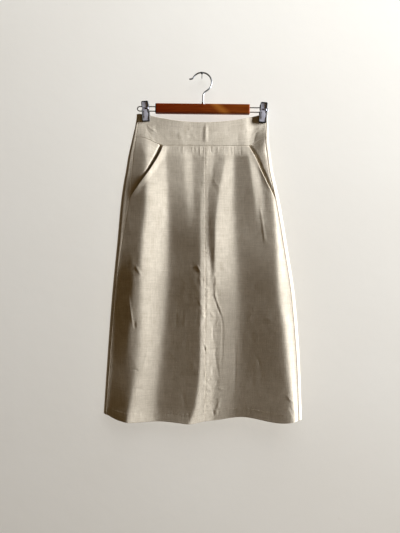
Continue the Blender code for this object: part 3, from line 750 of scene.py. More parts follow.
def add_panels():
    rows = rows_between(SEAM - SEAM_GAP / 2, HEM, STEP, SEAM_EDGE, HEM_EDGE)
    for side, edges in (("left", (MOUTH_EDGE, SEAM_EDGE)), ("right", (SEAM_EDGE, MOUTH_EDGE))):
        span = outer_first(side, on(mouth_line, side), centre_front)
        sew(f"front_{side}", span, rows, STEP, edges, shape=on(mouth_lift, side),
            hangs_from=["waistband_front_cloth"])
    rows = rows_between(SEAM - SEAM_GAP / 2, HEM, BACK_STEP, SEAM_EDGE, HEM_EDGE)
    for side, span in (
        ("right", (on(side_seam, "right"), centre_back)),
        ("left", (centre_back, around(side_seam, "left"))),
    ):
        sew(f"back_{side}", span, rows, BACK_STEP, (SEAM_EDGE, SEAM_EDGE), grain_from=centre_back,
            hangs_from=[f"waistband_back_{side}_cloth"])


def add_pockets():
    """On each side the hip piece behind the mouth, the layer below it, and the bag's front layer."""
    raw = (RAW_EDGE, RAW_EDGE)
    for side in ("left", "right"):
        inner = on(bag_inner, side)
        span = outer_first(side, on(side_seam, side), inner)
        rows = rows_between(SEAM - SEAM_GAP / 2, HIP, POCKET_STEP, SEAM_EDGE, RAW_EDGE)
        sew(f"hip_{side}", span, rows, POCKET_STEP, outer_first(side, SEAM_EDGE, RAW_EDGE),
            shape=on(hip_set_back, side), hangs_from=["waistband_front_cloth"])
        rows = rows_between(HIP - 0.0004, BAG_BOTTOM, POCKET_STEP, RAW_EDGE, RAW_EDGE)
        sew(f"pocket_back_{side}", span, rows, POCKET_STEP, raw, "pocket_cloth", back=0.0042,
            thickness=0.0005, hangs_from=[f"hip_{side}_cloth"])
        rows = rows_between(SEAM - SEAM_GAP / 2, BAG_BOTTOM, POCKET_STEP, RAW_EDGE, RAW_EDGE)
        sew(f"pocket_front_{side}", outer_first(side, on(mouth_line, side), inner), rows, POCKET_STEP, raw,
            "pocket_cloth", back=0.003, shape=on(mouth_lift, side), thickness=0.0004,
            hangs_from=[f"front_{side}_cloth"])


def add_stitches(name, places, radius, length, material):
    """Short raised stitches: each place is (point, way along the seam, way out of the cloth)."""
    points, faces = [], []
    for point, along, out in places:
        along = np.array(along) / np.linalg.norm(along)
        side = np.cross(along, out)
        first = len(points)
        points.append(point - along * length / 2)
        for share in (-0.28, 0.28):
            middle = point + along * length * share
            for a in np.radians(np.arange(0, 360, 60)):
                points.append(middle + radius * (math.cos(a) * np.array(out) * 0.8 + math.sin(a) * side))
        points.append(point + along * length / 2)
        a, b, last = first + 1, first + 7, first + 13
        for i in range(6):
            j = (i + 1) % 6
            faces += [(first, a + j, a + i), (a + i, a + j, b + j, b + i), (last, b + i, b + j)]
    mesh = mesh_of(name, points, faces)
    face_out(mesh)
    return add_object(name, mesh, material, "skirt")


STITCH_PITCH, STITCH_RADIUS, STITCH_LENGTH = 0.0034, 0.0003, 0.0026


def hem_stitches():
    """One row round the skirt, holding the top of the turned-up hem."""
    height = HEM + HEM_DEPTH - 0.0015
    ring = ring_at(height)
    count = round(ring.total / STITCH_PITCH)
    lengths = (np.arange(count) + 0.5) / count * ring.total
    shifts = np.full(count, OUTER + 0.00005)
    across, facing = ring.across(lengths), ring.facing(lengths)
    shifts += all_pushed(across, np.full(count, height), facing)
    here, ahead, out = (
        ring.place(lengths + step, shifts + lift)
        for step, lift in ((0.0, 0.0), (0.0005, 0.0), (0.0, 0.0005))
    )
    places = [(p, a - p, (o - p) / np.linalg.norm(o - p)) for p, a, o in zip(here, ahead, out)]
    return add_stitches("hem_stitches", places, STITCH_RADIUS, STITCH_LENGTH, THREAD)


# ---- zip ----
def sweep(name, path, radius, sides=14, domed=True):
    """A round bar along a path, its ends domed or cut flat."""
    path = np.array(path, float)
    ways = np.gradient(path, axis=0)
    ways /= np.linalg.norm(ways, axis=1)[:, None]
    middles, radii, along = list(path), [radius] * len(path), list(ways)
    if domed:
        for degrees in (35, 62, 84):
            a = math.radians(degrees)
            out, thin = radius * math.sin(a), radius * math.cos(a)
            middles = [path[0] - ways[0] * out, *middles, path[-1] + ways[-1] * out]
            radii = [thin, *radii, thin]
            along = [ways[0], *along, ways[-1]]
    side = np.cross(along[0], (0.0, 0.0, 1.0) if abs(along[0][2]) < 0.9 else (1.0, 0.0, 0.0))
    points = []
    for middle, size, way in zip(middles, radii, along):
        side = side - way * np.dot(side, way)
        side /= np.linalg.norm(side)
        up = np.cross(way, side)
        points += [middle + size * (math.cos(a) * side + math.sin(a) * up) for a in circle(sides)]
    return capped_tube(name, points, len(middles), sides)


def lathe(name, profile, sides=40):
    """A turned piece from (radius, height) pairs, bottom to top, about the upright axis."""
    points = [(r * math.cos(a), r * math.sin(a), z) for r, z in profile for a in circle(sides)]
    mesh = capped_tube(name, points, len(profile), sides)
    mesh.set_sharp_from_angle(angle=math.radians(35))
    return mesh


def plate(name, outline, thickness, holes=()):
    """A flat plate from an outline of (x, z) points, with round holes of (x, z, radius)."""
    curve = bpy.data.curves.new(name, "CURVE")
    curve.dimensions = "2D"
    curve.fill_mode = "BOTH"
    curve.extrude = thickness / 2
    loops = [outline]
    for x, z, radius in holes:
        loops.append([(x + radius * math.cos(a), z + radius * math.sin(a)) for a in circle(24)])
    for loop in loops:
        spline = curve.splines.new("POLY")
        spline.use_cyclic_u = True
        spline.points.add(len(loop) - 1)
        for point, (x, z) in zip(spline.points, loop):
            point.co = (x, z, 0.0, 1.0)
    helper = bpy.data.objects.new(name, curve)
    bpy.context.scene.collection.objects.link(helper)
    bpy.context.view_layer.update()
    depsgraph = bpy.context.evaluated_depsgraph_get()
    mesh = bpy.data.meshes.new_from_object(helper.evaluated_get(depsgraph))
    bpy.data.objects.remove(helper)
    mesh.name = name
    mesh.transform(Matrix.Rotation(math.pi / 2, 4, "X"))
    face_out(mesh, weld=True)
    mesh.shade_smooth()
    mesh.set_sharp_from_angle(angle=math.radians(35))
    return mesh


def joined(name, meshes):
    """Several meshes as one."""
    shape = bmesh.new()
    for mesh in meshes:
        shape.from_mesh(mesh)
    made = bpy.data.meshes.new(name)
    shape.to_mesh(made)
    shape.free()
    return made


def moved(mesh, *place, turn=None):
    if turn is not None:
        mesh.transform(turn)
    mesh.transform(Matrix.Translation(place))
    return mesh


def rounded_outline(half_low, half_high, low, high, corner=0.001, steps=6):
    """(x, z) points of a plate that narrows from one end to the other, its corners rounded."""
    corners = [(half_low, low), (half_high, high), (-half_high, high), (-half_low, low)]
    points = []
    for i, here in enumerate(corners):
        before, after = np.array(corners[i - 1]), np.array(corners[(i + 1) % 4])
        here = np.array(here)
        start = here + (before - here) / np.linalg.norm(before - here) * corner
        end = here + (after - here) / np.linalg.norm(after - here) * corner
        for t in np.linspace(0, 1, steps):
            points.append(tuple((1 - t) ** 2 * start + 2 * t * (1 - t) * here + t * t * end))
    return points


TAPE_HALF, TAPE_BACK = 0.012, 0.0024  # half the tape's width, and how far it lies behind the cloth
TOOTH_PITCH, TOOTH_RADIUS, TOOTH_LENGTH = 0.0016, 0.00055, 0.0058
SLIDER_DEEP, TAB_DEEP = 0.002, 0.0009


def add_zip():
    edges = tuple((lambda ring, away=away: centre_back(ring) + away) for away in (-TAPE_HALF, TAPE_HALF))
    rows = rows_between(TOP - 0.003, ZIP_END, 0.0035, RAW_EDGE, RAW_EDGE)
    tape = sew("zip_tape", edges, rows, 0.002, (RAW_EDGE, RAW_EDGE), "zip_tape", back=TAPE_BACK,
               thickness=0.0006, grain_from=centre_back, hangs_from=["waistband_back_left_cloth"])
    teeth = []
    for height in np.arange(TOP - 0.016, ZIP_END + 0.004, -TOOTH_PITCH):
        ring = ring_at(float(round(height, 4)))
        middle = np.array([centre_back(ring)])
        here, out = (ring.place(middle, OUTER - away)[0] for away in (0.0036, 0.0026))
        teeth.append((here, (1.0, 0.0, 0.12), (out - here) / np.linalg.norm(out - here)))
    coil = add_stitches("zip_coil", teeth, TOOTH_RADIUS, TOOTH_LENGTH, ZIP_NYLON)
    CUTS[tape]["with_pieces"] = [coil]

    low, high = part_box("zip_slider")
    seat = (low + high) / 2
    pull_low, pull_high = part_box("zip_pull")
    hinge = Vector((seat.x, (pull_low.y + pull_high.y) / 2, pull_high.z - 0.001))
    body = plate("zip_slider_body", rounded_outline(0.0021, 0.0033, -0.0043, 0.0043, 0.0012), SLIDER_DEEP)
    ears = []
    for way in (-1, 1):
        outline = rounded_outline(0.0016, 0.0011, -0.0012, 0.0012, 0.0007)
        ear = plate("ear", outline, 0.0011, [(0.0, 0.0, 0.00066)])
        moved(ear, way * 0.00275, 0.0, 0.0, turn=Matrix.Rotation(math.pi / 2, 4, "Z"))
        ears.append(moved(ear, *hinge))
    shell = joined("zip_slider_metal", [moved(body, seat.x, low.y + SLIDER_DEEP / 2, seat.z), *ears])
    slider = add_object("zip_slider_metal", shell, ZIP_METAL, "skirt")
    modifier(slider, "BEVEL", width=0.0002, segments=2, limit_method="ANGLE")
    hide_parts("zip_slider")

    outline = [(0.001, 0.0008), (-0.001, 0.0008), (-0.0012, -0.006), (-0.0016, -0.014)]
    for a in np.linspace(math.pi, 2 * math.pi, 12):
        outline.append((0.0016 * math.cos(a), -0.0172 + 0.0018 * math.sin(a)))
    outline += [(0.0016, -0.014), (0.0012, -0.006)]
    tab = plate("zip_pull_tab", outline[::-1], TAB_DEEP, [(0.0, -0.016, 0.0007)])
    pin = sweep("pin", [(x, 0.0, 0.0) for x in np.linspace(-0.003, 0.003, 7)], 0.00045, 12, False)
    pull = moved(joined("zip_pull_metal", [tab, pin]), *hinge)
    pull = add_object("zip_pull_metal", pull, ZIP_METAL, "pull_tab")
    modifier(pull, "BEVEL", width=0.00015, segments=2, limit_method="ANGLE")
    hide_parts("zip_pull")


# ---- hanger ----
HANG = Matrix.Rotation(TILT, 4, "Y")
HOOK_WIRE, HOOK_BEND = 0.002, 0.0263  # radius of the hook's wire, and of its bend
HOOK_FROM, HOOK_TO = -60, 150  # degrees round the bend, from the right
HOOK_TIP = ((-0.0262, -0.0168), (-0.0325, -0.0161))  # the hook's turned-up end
SHANK_X, FERRULE_HEIGHT = 0.0035, 0.007
BAR_MIDDLE, BAR_SIZE = (0.0025, -0.0968), (0.255, 0.013, 0.0258)
BAR_ENDS = ((0.0, 0.9), (0.0006, 0.955), (0.0016, 0.99), (0.003, 1.0))  # from the end, share of full size
RAIL_WIRE, RAIL_HALF_HEIGHT, PIVOT_HEIGHT = 0.0014, 0.0061, -0.0978
RAIL_END = {"left": -0.175, "right": 0.1805}
CLIP_PIVOT = {"left": -0.1518, "right": 0.1668}
CLIP_LEAN = {"left": math.radians(-4.6), "right": math.radians(4.0)}
JAW_TOP, JAW_FOOT = 0.0168, -0.0345  # ends of a clip's jaw, over its pivot
JAW_WINDOW = (-0.003, 0.0026)  # the opening for the spring
PLATE, FOLD_RADIUS = 0.0011, 0.0008  # thickness of the pressed plate, and radius of its folded edge
PAD_FROM_MIDDLE, RIB_FROM_MIDDLE, RIB_RADIUS = 0.00255, 0.0026, 0.00045
PAD_DEEP, PAD_TALL, PAD_FOOT = 0.002, 0.0195, -0.0358
SPRING_TURNS, SPRING_RADIUS, SPRING_WIRE, SPRING_HALF = 7.5, 0.0034, 0.00055, 0.0048
# Height over the pivot, distance from the middle, half width, depth of the folded sides.
JAW_ROWS = (
    (JAW_TOP, 0.0085, 0.0078, 0.0012), (0.011, 0.0072, 0.008, 0.0016), (0.0055, 0.0062, 0.008, 0.003),
    (0.0, 0.0058, 0.0082, 0.004), (-0.0055, 0.0059, 0.0084, 0.003), (-0.014, 0.006, 0.0086, 0.0012),
    (JAW_FOOT, 0.0058, 0.009, 0.001),
)


def bend(first, pull, last, count):
    """Points along a curve from the first to the last, drawn toward the pull."""
    return [
        tuple((1 - t) ** 2 * a + 2 * t * (1 - t) * b + t * t * c for a, b, c in zip(first, pull, last))
        for t in np.linspace(0, 1, count + 1)
    ]


def hang(node, ending, mesh, material):
    """A piece of the hanger, tilted with it, in place of its node."""
    mesh.transform(HANG)
    obj = add_object(f"{node}_{ending}", mesh, material, "skirt")
    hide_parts(node)
    return obj


def add_hook():
    centre = HOOK_WIRE - HOOK_BEND
    top_of_bar = BAR_MIDDLE[1] + BAR_SIZE[2] / 2
    angles = np.radians(np.linspace(HOOK_FROM, HOOK_TO, 64))
    arc = [(HOOK_BEND * math.cos(a), centre + HOOK_BEND * math.sin(a)) for a in angles]
    start = arc[0]
    corner = start[1] - (start[0] - SHANK_X) * math.tan(math.radians(90 + HOOK_FROM))
    shank_top = (SHANK_X, corner - (start[0] - SHANK_X))
    foot = (SHANK_X, top_of_bar + FERRULE_HEIGHT - 0.001)
    path = [
        *bend(foot, foot, shank_top, 8)[:-1],
        *bend(shank_top, (SHANK_X, corner), start, 16)[:-1],
        *arc,
        *bend(arc[-1], *HOOK_TIP, 12)[1:],
    ]
    wire = sweep("hook_wire", [(x, 0.0, z) for x, z in path], HOOK_WIRE, 24)
    hang("hook", "wire", wire, BRIGHT_WIRE)
    profile = [
        (0.0026, 0.0), (0.0035, 0.0002), (0.0037, 0.0009), (0.0037, 0.0021), (0.003, 0.0027),
        (0.003, 0.0051), (0.0034, 0.0056), (0.0034, 0.0064), (0.0029, 0.007), (0.0021, 0.0071),
    ]
    ferrule = moved(lathe("hook_ferrule_metal", profile), SHANK_X, 0.0, top_of_bar)
    hang("hook_ferrule", "metal", ferrule, BRIGHT_WIRE)


def add_bar():
    """The wooden bar: eased edges and ends, and a section between an ellipse and a rectangle."""
    length, deep, tall = BAR_SIZE
    squareness, sides = 9, 48
    along = [(away - length / 2, size) for away, size in BAR_ENDS]
    along += [(x, 1.0) for x in np.linspace(0.006 - length / 2, length / 2 - 0.006, 60)]
    along += [(length / 2 - away, size) for away, size in BAR_ENDS[::-1]]
    points = []
    for x, size in along:
        inset = (1 - size) * deep
        for a in circle(sides):
            c, s = math.cos(a), math.sin(a)
            squared = (abs(c) ** squareness + abs(s) ** squareness) ** (-1 / squareness)
            points.append((x, (deep / 2 - inset) * squared * c, (tall / 2 - inset) * squared * s))
    mesh = capped_tube("wooden_bar_finished", points, len(along), sides)
    face_out(moved(mesh, BAR_MIDDLE[0], 0.0, BAR_MIDDLE[1]))
    hang("wooden_bar", "finished", mesh, WOOD)


def add_rail(side):
    way = -1 if side == "left" else 1
    bar_end = BAR_MIDDLE[0] + way * (BAR_SIZE[0] / 2 - 0.001)
    turn_middle = RAIL_END[side] - way * (RAIL_HALF_HEIGHT + RAIL_WIRE)
    turn = [
        (turn_middle + way * RAIL_HALF_HEIGHT * math.cos(a), PIVOT_HEIGHT + RAIL_HALF_HEIGHT * math.sin(a))
        for a in np.linspace(math.pi / 2, -math.pi / 2, 25)
    ]
    runs = [np.linspace(bar_end, turn[0][0], 12)[:-1], np.linspace(turn[0][0], bar_end, 12)[1:]]
    path = [(x, turn[0][1]) for x in runs[0]] + turn + [(x, turn[-1][1]) for x in runs[1]]
    wire = sweep(f"rail_{side}_wire", [(x, 0.0, z) for x, z in path], RAIL_WIRE, 16, False)
    hang(f"rail_{side}", "wire", wire, BRIGHT_WIRE)


def clip_jaw(way):
    """A pressed plate with folded sides, windowed at the spring."""
    heights = [
        *np.linspace(JAW_TOP, 0.0032, 12), *np.linspace(0.0022, -0.0026, 5),
        *np.linspace(-0.0036, JAW_FOOT, 20),
    ]
    rows = []
    for height in heights:
        away, half, fold = at_height(height, JAW_ROWS)
        half -= 0.0016 * smooth((height - 0.0148) / 0.002) + 0.001 * smooth((-0.0335 - height) / 0.001)
        emboss = 0.0005 * smooth(1 - abs(height + 0.017) / 0.014) if height < -0.004 else 0.0
        side = [
            (half, away - fold), (half, away - FOLD_RADIUS - 0.0001), (half - 0.0002, away - 0.0003),
            (half - FOLD_RADIUS, away), (half - 0.0021, away), (half - 0.0027, away + emboss),
            (0.0021, away + emboss),
        ]
        row = [(-x, y) for x, y in side] + side[::-1]
        rows.append([(x, way * y, height) for x, y in row])
    wide = len(rows[0])
    faces = []
    for face in quads(len(rows), wide):
        r, c = divmod(face[0], wide)
        windowed = JAW_WINDOW[0] < heights[r] < JAW_WINDOW[1] and 4 <= c < wide - 5
        if not windowed:
            faces.append(face if way < 0 else face[::-1])
    return mesh_of("jaw", np.array(rows).reshape(-1, 3), faces)


def clip_shade_edging(way, top, bottom):
    """A black band in the rubber finish along the edge of the lever or of the plate below the spring, a U
    open at the pivot: painted shade and dark reflection at the clip's edges.
    """
    corner = 0.0022
    heights = np.linspace(bottom, top, 12) if top > 0 else np.linspace(top, bottom, 16)
    path = []
    for height in heights:
        away, half, _ = at_height(height, JAW_ROWS)
        path.append((-half - 0.0001, way * (away + 0.0001), height))
    x, y, z = path[-1]
    path = [point for point in path if abs(point[2] - z) > corner]
    fall = -corner if top > 0 else corner
    path += [(x + corner * t**2, y, z + fall * (1 - t) ** 2) for t in np.linspace(0.15, 0.85, 5)]
    path += [(across, y, z) for across in np.linspace(x + corner, 0, 5)]
    path += [(-x, y, z) for x, y, z in path[-2::-1]]
    return sweep("shade_edging", path, 0.00135 if top < 0 else 0.0017, 12)


def clip_pad(way):
    """The ribbed rubber pad that grips the cloth."""
    outline = rounded_outline(0.0094, 0.0094, PAD_FOOT, PAD_FOOT + PAD_TALL, 0.0012)
    parts = [moved(plate("pad", outline, PAD_DEEP), 0.0, way * (PAD_FROM_MIDDLE + PAD_DEEP / 2), 0.0)]
    for z in np.linspace(PAD_FOOT + 0.002, PAD_FOOT + PAD_TALL - 0.002, 9):
        rib = sweep("rib", [(x, 0.0, 0.0) for x in np.linspace(-0.008, 0.008, 5)], RIB_RADIUS, 8)
        parts.append(moved(rib, 0.0, way * RIB_FROM_MIDDLE, z))
    return parts


def clip_spring():
    """The coil round its pin, with a leg to each jaw and the pin's heads."""
    angles = np.linspace(0, SPRING_TURNS * 2 * math.pi, int(SPRING_TURNS * 22))
    coil = [
        (-SPRING_HALF + 2 * SPRING_HALF * i / (len(angles) - 1), SPRING_RADIUS * math.cos(a),
         SPRING_RADIUS * math.sin(a))
        for i, a in enumerate(angles)
    ]
    parts = [sweep("coil", coil, SPRING_WIRE, 8)]
    for (x, *_), way in ((coil[0], -1), (coil[-1], 1)):
        leg = [(x, way * away, z) for away, z in ((SPRING_RADIUS, 0.0), (0.0044, 0.006), (0.0054, 0.013))]
        parts.append(sweep("leg", leg, SPRING_WIRE, 8))
    parts.append(sweep("pin", [(x, 0.0, 0.0) for x in np.linspace(-0.0086, 0.0086, 9)], 0.0013, 14))
    profile = [(0.0012, -0.0006), (0.0021, -0.0005), (0.0024, 0.0), (0.0018, 0.0006), (0.0004, 0.0008)]
    for way in (-1, 1):
        turn = Matrix.Rotation(way * math.pi / 2, 4, "Y")
        parts.append(moved(lathe("head", profile, 20), way * 0.0088, 0.0, 0.0, turn=turn))
    return joined("spring", parts)


def add_clip(side):
    place = Matrix.Translation((CLIP_PIVOT[side], 0.0, PIVOT_HEIGHT))
    place = place @ Matrix.Rotation(CLIP_LEAN[side], 4, "Y")
    for face, way in (("front", -1), ("back", 1)):
        jaw = clip_jaw(way)
        jaw.transform(place)
        obj = hang(f"clip_{side}_jaw_{face}", "plate", jaw, STEEL)
        modifier(obj, "SOLIDIFY", thickness=PLATE, offset=0.0)
        modifier(obj, "BEVEL", width=0.0002, segments=2, limit_method="ANGLE")
        # Black bands along the lever's and the lower plate's edges: painted shade and dark reflection.
        shade_edging = [clip_shade_edging(way, *ends) for ends in ((JAW_TOP, 0.0034), (-0.004, JAW_FOOT))]
        rubber = joined("rubber", [*clip_pad(way), *shade_edging])
        rubber.transform(place)
        hang(f"clip_{side}_pad_{face}", "rubber", rubber, RUBBER)
    spring = clip_spring()
    spring.transform(place)
    hang(f"clip_{side}_spring", "coil", spring, STEEL)


# ---- finishes ----
class Nodes:
    """Makes the shader nodes of one tree. An input is a value or another node's socket."""

    def __init__(self, tree):
        self.tree = tree

    def feed(self, socket, value):
        if isinstance(value, bpy.types.NodeSocket):
            self.tree.links.new(value, socket)
        else:
            socket.default_value = value

    def add(self, kind, inputs, **settings):
        made = self.tree.nodes.new("ShaderNode" + kind)
        for key, value in settings.items():
            setattr(made, key, value)
        for key, value in inputs.items():
            self.feed(made.inputs[key], value)
        return made

    def math(self, operation, *values):
        return self.add("Math", dict(enumerate(values)), operation=operation).outputs[0]

    def plus(self, *values):
        return self.math("ADD", *values)

    def times(self, *values):
        return self.math("MULTIPLY", *values)

    def spread(self, value, low, high):
        """A value's middle range stretched to run from 0 to 1."""
        return self.add("MapRange", {"Value": value, "From Min": low, "From Max": high}).outputs["Result"]

    def blend(self, share, low, high):
        """A colour between two others."""
        low, high = (c if isinstance(c, bpy.types.NodeSocket) else (*c, 1.0) for c in (low, high))
        return self.add("Mix", {0: share, 6: low, 7: high}, data_type="RGBA").outputs[2]

    def noise(self, place, scale, detail=2.0, rough=0.5):
        inputs = {"Vector": place, "Scale": scale, "Detail": detail, "Roughness": rough}
        return self.add("TexNoise", inputs).outputs["Fac"]

    def streaks(self, place, size, detail=2.0, rough=0.5):
        """Noise scaled by a different amount each way."""
        place = self.add("VectorMath", {0: place, 1: size}, operation="MULTIPLY").outputs[0]
        return self.noise(place, 1.0, detail, rough)

    def relief(self, shader, height, strength, distance):
        made = self.add("Bump", {"Strength": strength, "Distance": distance, "Height": height})
        self.feed(shader.inputs["Normal"], made.outputs[0])


def new_group(name, inputs):
    """A node group that gives a colour, a height and a roughness."""
    tree = bpy.data.node_groups.new(name, "ShaderNodeTree")
    for label, value in inputs:
        coloured = isinstance(value, tuple)
        kind = "NodeSocketColor" if coloured else "NodeSocketFloat"
        socket = tree.interface.new_socket(label, in_out="INPUT", socket_type=kind)
        socket.default_value = (*value, 1.0) if coloured else value
    for label, kind in (("Colour", "Color"), ("Height", "Float"), ("Roughness", "Float")):
        tree.interface.new_socket(label, in_out="OUTPUT", socket_type="NodeSocket" + kind)
    return Nodes(tree), tree.nodes.new("NodeGroupInput").outputs, tree.nodes.new("NodeGroupOutput").inputs


def weave_group():
    """Plain weave in the cloth's own measure, with slubbed, uneven threads."""
    n, given, made = new_group("linen_weave", (
        ("Light Thread", (0.6, 0.5, 0.4)), ("Dark Thread", (0.4, 0.3, 0.2)), ("Thread Width", 0.0009),
        ("Slub", 1.0), ("Mottle", 1.0),
    ))
    place = n.add("UVMap", {}, uv_map="cloth").outputs[0]
    parts = n.add("SeparateXYZ", {0: place}).outputs
    wander = [n.streaks(place, size) for size in ((160, 14, 1), (14, 160, 1))]
    threads = [
        n.plus(n.math("DIVIDE", parts[i], given["Thread Width"]), n.times(wander[i], 0.8)) for i in (0, 1)
    ]
    floors = [n.math("FLOOR", thread) for thread in threads]
    parity = n.math("FLOORED_MODULO", n.plus(*floors), 2.0)
    rounds = [n.math("SINE", n.times(n.math("FRACT", thread), math.pi)) for thread in threads]
    over = n.times(rounds[0], n.math("MULTIPLY_ADD", parity, 0.5, 0.5))
    under = n.times(rounds[1], n.math("MULTIPLY_ADD", parity, -0.5, 1.0))
    height = n.math("MAXIMUM", over, under)
    slubs = [
        n.streaks(place, size, 3.0, 0.65)
        for size in ((420, 16, 1), (16, 460, 1), (1100, 60, 1), (60, 1200, 1))
    ]
    slub = n.spread(n.plus(n.plus(*slubs[:2]), n.plus(*slubs[2:])), 1.55, 2.45)
    patch = n.streaks(place, (60, 42, 1), 4.0, 0.6)
    uneven = [
        n.times(n.math("SUBTRACT", value, 0.5), given[label])
        for value, label in ((slub, "Slub"), (patch, "Mottle"))
    ]
    # The thread crowns are made lighter than the hollows between them: painted shade in the weave.
    tone = n.plus(n.plus(*uneven), n.times(height, 0.3))
    share = n.add("Clamp", {"Value": n.plus(tone, 0.32)}).outputs[0]
    n.feed(made["Colour"], n.blend(share, given["Dark Thread"], given["Light Thread"]))
    n.feed(made["Height"], n.plus(height, n.times(slub, 0.8)))
    n.feed(made["Roughness"], n.math("MULTIPLY_ADD", slub, -0.1, 0.93))
    return n.tree


def wear_group():
    """Faint scratches, smudges and dust for handled hard parts."""
    n, given, made = new_group("handled_surface", (
        ("Clean", (0.5, 0.5, 0.5)), ("Dulled", (0.4, 0.4, 0.4)), ("Grain", 900.0), ("Polish", 0.2),
        ("Smudge", 0.15),
    ))
    place = n.add("TexCoord", {}).outputs["Object"]
    fine = n.noise(place, given["Grain"], 3.0)
    patch = n.noise(place, 140.0, 3.0)
    lines = n.streaks(place, (1800, 260, 120))
    worn = n.spread(n.plus(patch, n.times(lines, 0.5)), 0.6, 0.95)
    n.feed(made["Colour"], n.blend(worn, given["Clean"], given["Dulled"]))
    n.feed(made["Height"], n.plus(fine, lines))
    n.feed(made["Roughness"], n.math("MULTIPLY_ADD", worn, given["Smudge"], given["Polish"]))
    return n.tree


def finish(name, shader_values, group=None, group_values=(), bump=(0.3, 0.0002)):
    """A material: fixed values on the shader, and a group's colour, roughness and height into it."""
    material = bpy.data.materials.new(name)
    material.use_nodes = True
    n = Nodes(material.node_tree)
    shader = n.tree.nodes["Principled BSDF"]
    for key, value in shader_values.items():
        shader.inputs[key].default_value = value
    if group:
        pattern = n.tree.nodes.new("ShaderNodeGroup")
        pattern.node_tree = group
        for socket, value in zip(pattern.inputs, group_values):
            socket.default_value = (*value, 1.0) if isinstance(value, tuple) else value
        n.feed(shader.inputs["Base Color"], pattern.outputs["Colour"])
        n.feed(shader.inputs["Roughness"], pattern.outputs["Roughness"])
        n.relief(shader, pattern.outputs["Height"], *bump)
    return material


def wood_finish():
    """Red-brown stained hardwood under a clear coat, its grain along the bar, with painted shade toward its
    left end and a painted highlight streak.
    """
    coat = {"Coat Weight": 0.03, "Coat Roughness": 0.25, "Specular IOR Level": 0.1}
    material = finish("stained_wood", coat)
    n = Nodes(material.node_tree)
    shader = n.tree.nodes["Principled BSDF"]
    place = n.add("TexCoord", {}).outputs["Object"]
    wave = n.streaks(place, (9, 60, 60))
    waves = n.add("CombineXYZ", {0: wave, 1: wave, 2: wave}).outputs[0]
    inputs = {0: waves, 1: (0.0, 0.02, 0.02), 2: place}
    bowed = n.add("VectorMath", inputs, operation="MULTIPLY_ADD").outputs[0]
    bands = n.streaks(bowed, (11, 420, 420), 4.0, 0.6)
    pores = n.streaks(bowed, (90, 2600, 2600))
    across, _, height = n.add("SeparateXYZ", {0: place}).outputs
    # Painted shade: the wood's colour darkens toward the bar's left end, away from the window light.
    fade = n.spread(across, -0.13, 0.12)
    dark = n.blend(fade, (0.078, 0.006, 0.0006), (0.108, 0.017, 0.001))
    light = n.blend(fade, (0.148, 0.017, 0.0015), (0.205, 0.046, 0.003))
    colour = n.blend(n.spread(bands, 0.32, 0.68), dark, light)
    # Painted highlight: a light slanted streak across the bar.
    highlight_slant = n.plus(n.plus(across, n.times(height, 1.1)), 0.058)
    painted_highlight = n.spread(n.math("ABSOLUTE", highlight_slant), 0.02, 0.002)
    colour = n.blend(n.times(painted_highlight, 0.5), colour, (0.42, 0.15, 0.02))
    colour = n.blend(n.times(n.spread(pores, 0.58, 0.75), 0.5), colour, (0.05, 0.012, 0.004))
    from_middle = n.math("ABSOLUTE", n.math("SUBTRACT", across, BAR_MIDDLE[0]))
    end_grain = n.spread(from_middle, BAR_SIZE[0] / 2 - 0.0009, BAR_SIZE[0] / 2 - 0.0002)
    colour = n.blend(n.times(end_grain, 0.85), colour, (0.022, 0.004, 0.001))
    n.feed(shader.inputs["Base Color"], colour)
    n.feed(shader.inputs["Roughness"], n.math("MULTIPLY_ADD", bands, 0.2, 0.32))
    n.relief(shader, pores, 0.25, 0.0002)
    return material


def plaster_finish():
    """Off-white painted plaster, seen only from the room's side."""
    material = finish("plaster_wall", {"Roughness": 0.85})
    n = Nodes(material.node_tree)
    shader, output = n.tree.nodes["Principled BSDF"], n.tree.nodes["Material Output"]
    place = n.add("TexCoord", {}).outputs["Object"]
    cloud = n.spread(n.noise(place, 2.2, 4.0), 0.3, 0.7)
    speck = n.spread(n.noise(place, 38.0, 3.0), 0.7, 0.8)
    colour = n.blend(cloud, (0.835, 0.82, 0.775), (0.86, 0.85, 0.81))
    n.feed(shader.inputs["Base Color"], n.blend(n.times(speck, 0.12), colour, (0.55, 0.53, 0.48)))
    n.relief(shader, n.noise(place, 26.0, 5.0), 0.12, 0.004)
    behind = n.add("NewGeometry", {}).outputs["Backfacing"]
    clear = n.add("BsdfTransparent", {}).outputs[0]
    sided = n.add("MixShader", {0: behind, 1: shader.outputs[0], 2: clear})
    n.feed(output.inputs["Surface"], sided.outputs[0])
    return material


WEAVE = weave_group()
WEAR = wear_group()
# A weave takes its light and dark thread and the thread's width, then its slub and mottle.
LINEN = finish(
    "natural_linen", {"Sheen Weight": 0.12, "Sheen Roughness": 0.5, "Specular IOR Level": 0.25}, WEAVE,
    ((0.64, 0.562, 0.44), (0.43, 0.36, 0.262), 0.00095), (0.35, 0.0003),
)
POCKET_CLOTH = finish(
    "pocket_linen", {"Specular IOR Level": 0.2}, WEAVE, ((0.6, 0.52, 0.41), (0.42, 0.35, 0.26), 0.0006),
)
TAPE_CLOTH = finish(
    "zip_tape_weave", {"Specular IOR Level": 0.3}, WEAVE,
    ((0.55, 0.48, 0.38), (0.42, 0.36, 0.28), 0.0005, 0.3, 0.3),
)
CLOTHS = {"linen": LINEN, "pocket_cloth": POCKET_CLOTH, "zip_tape": TAPE_CLOTH}
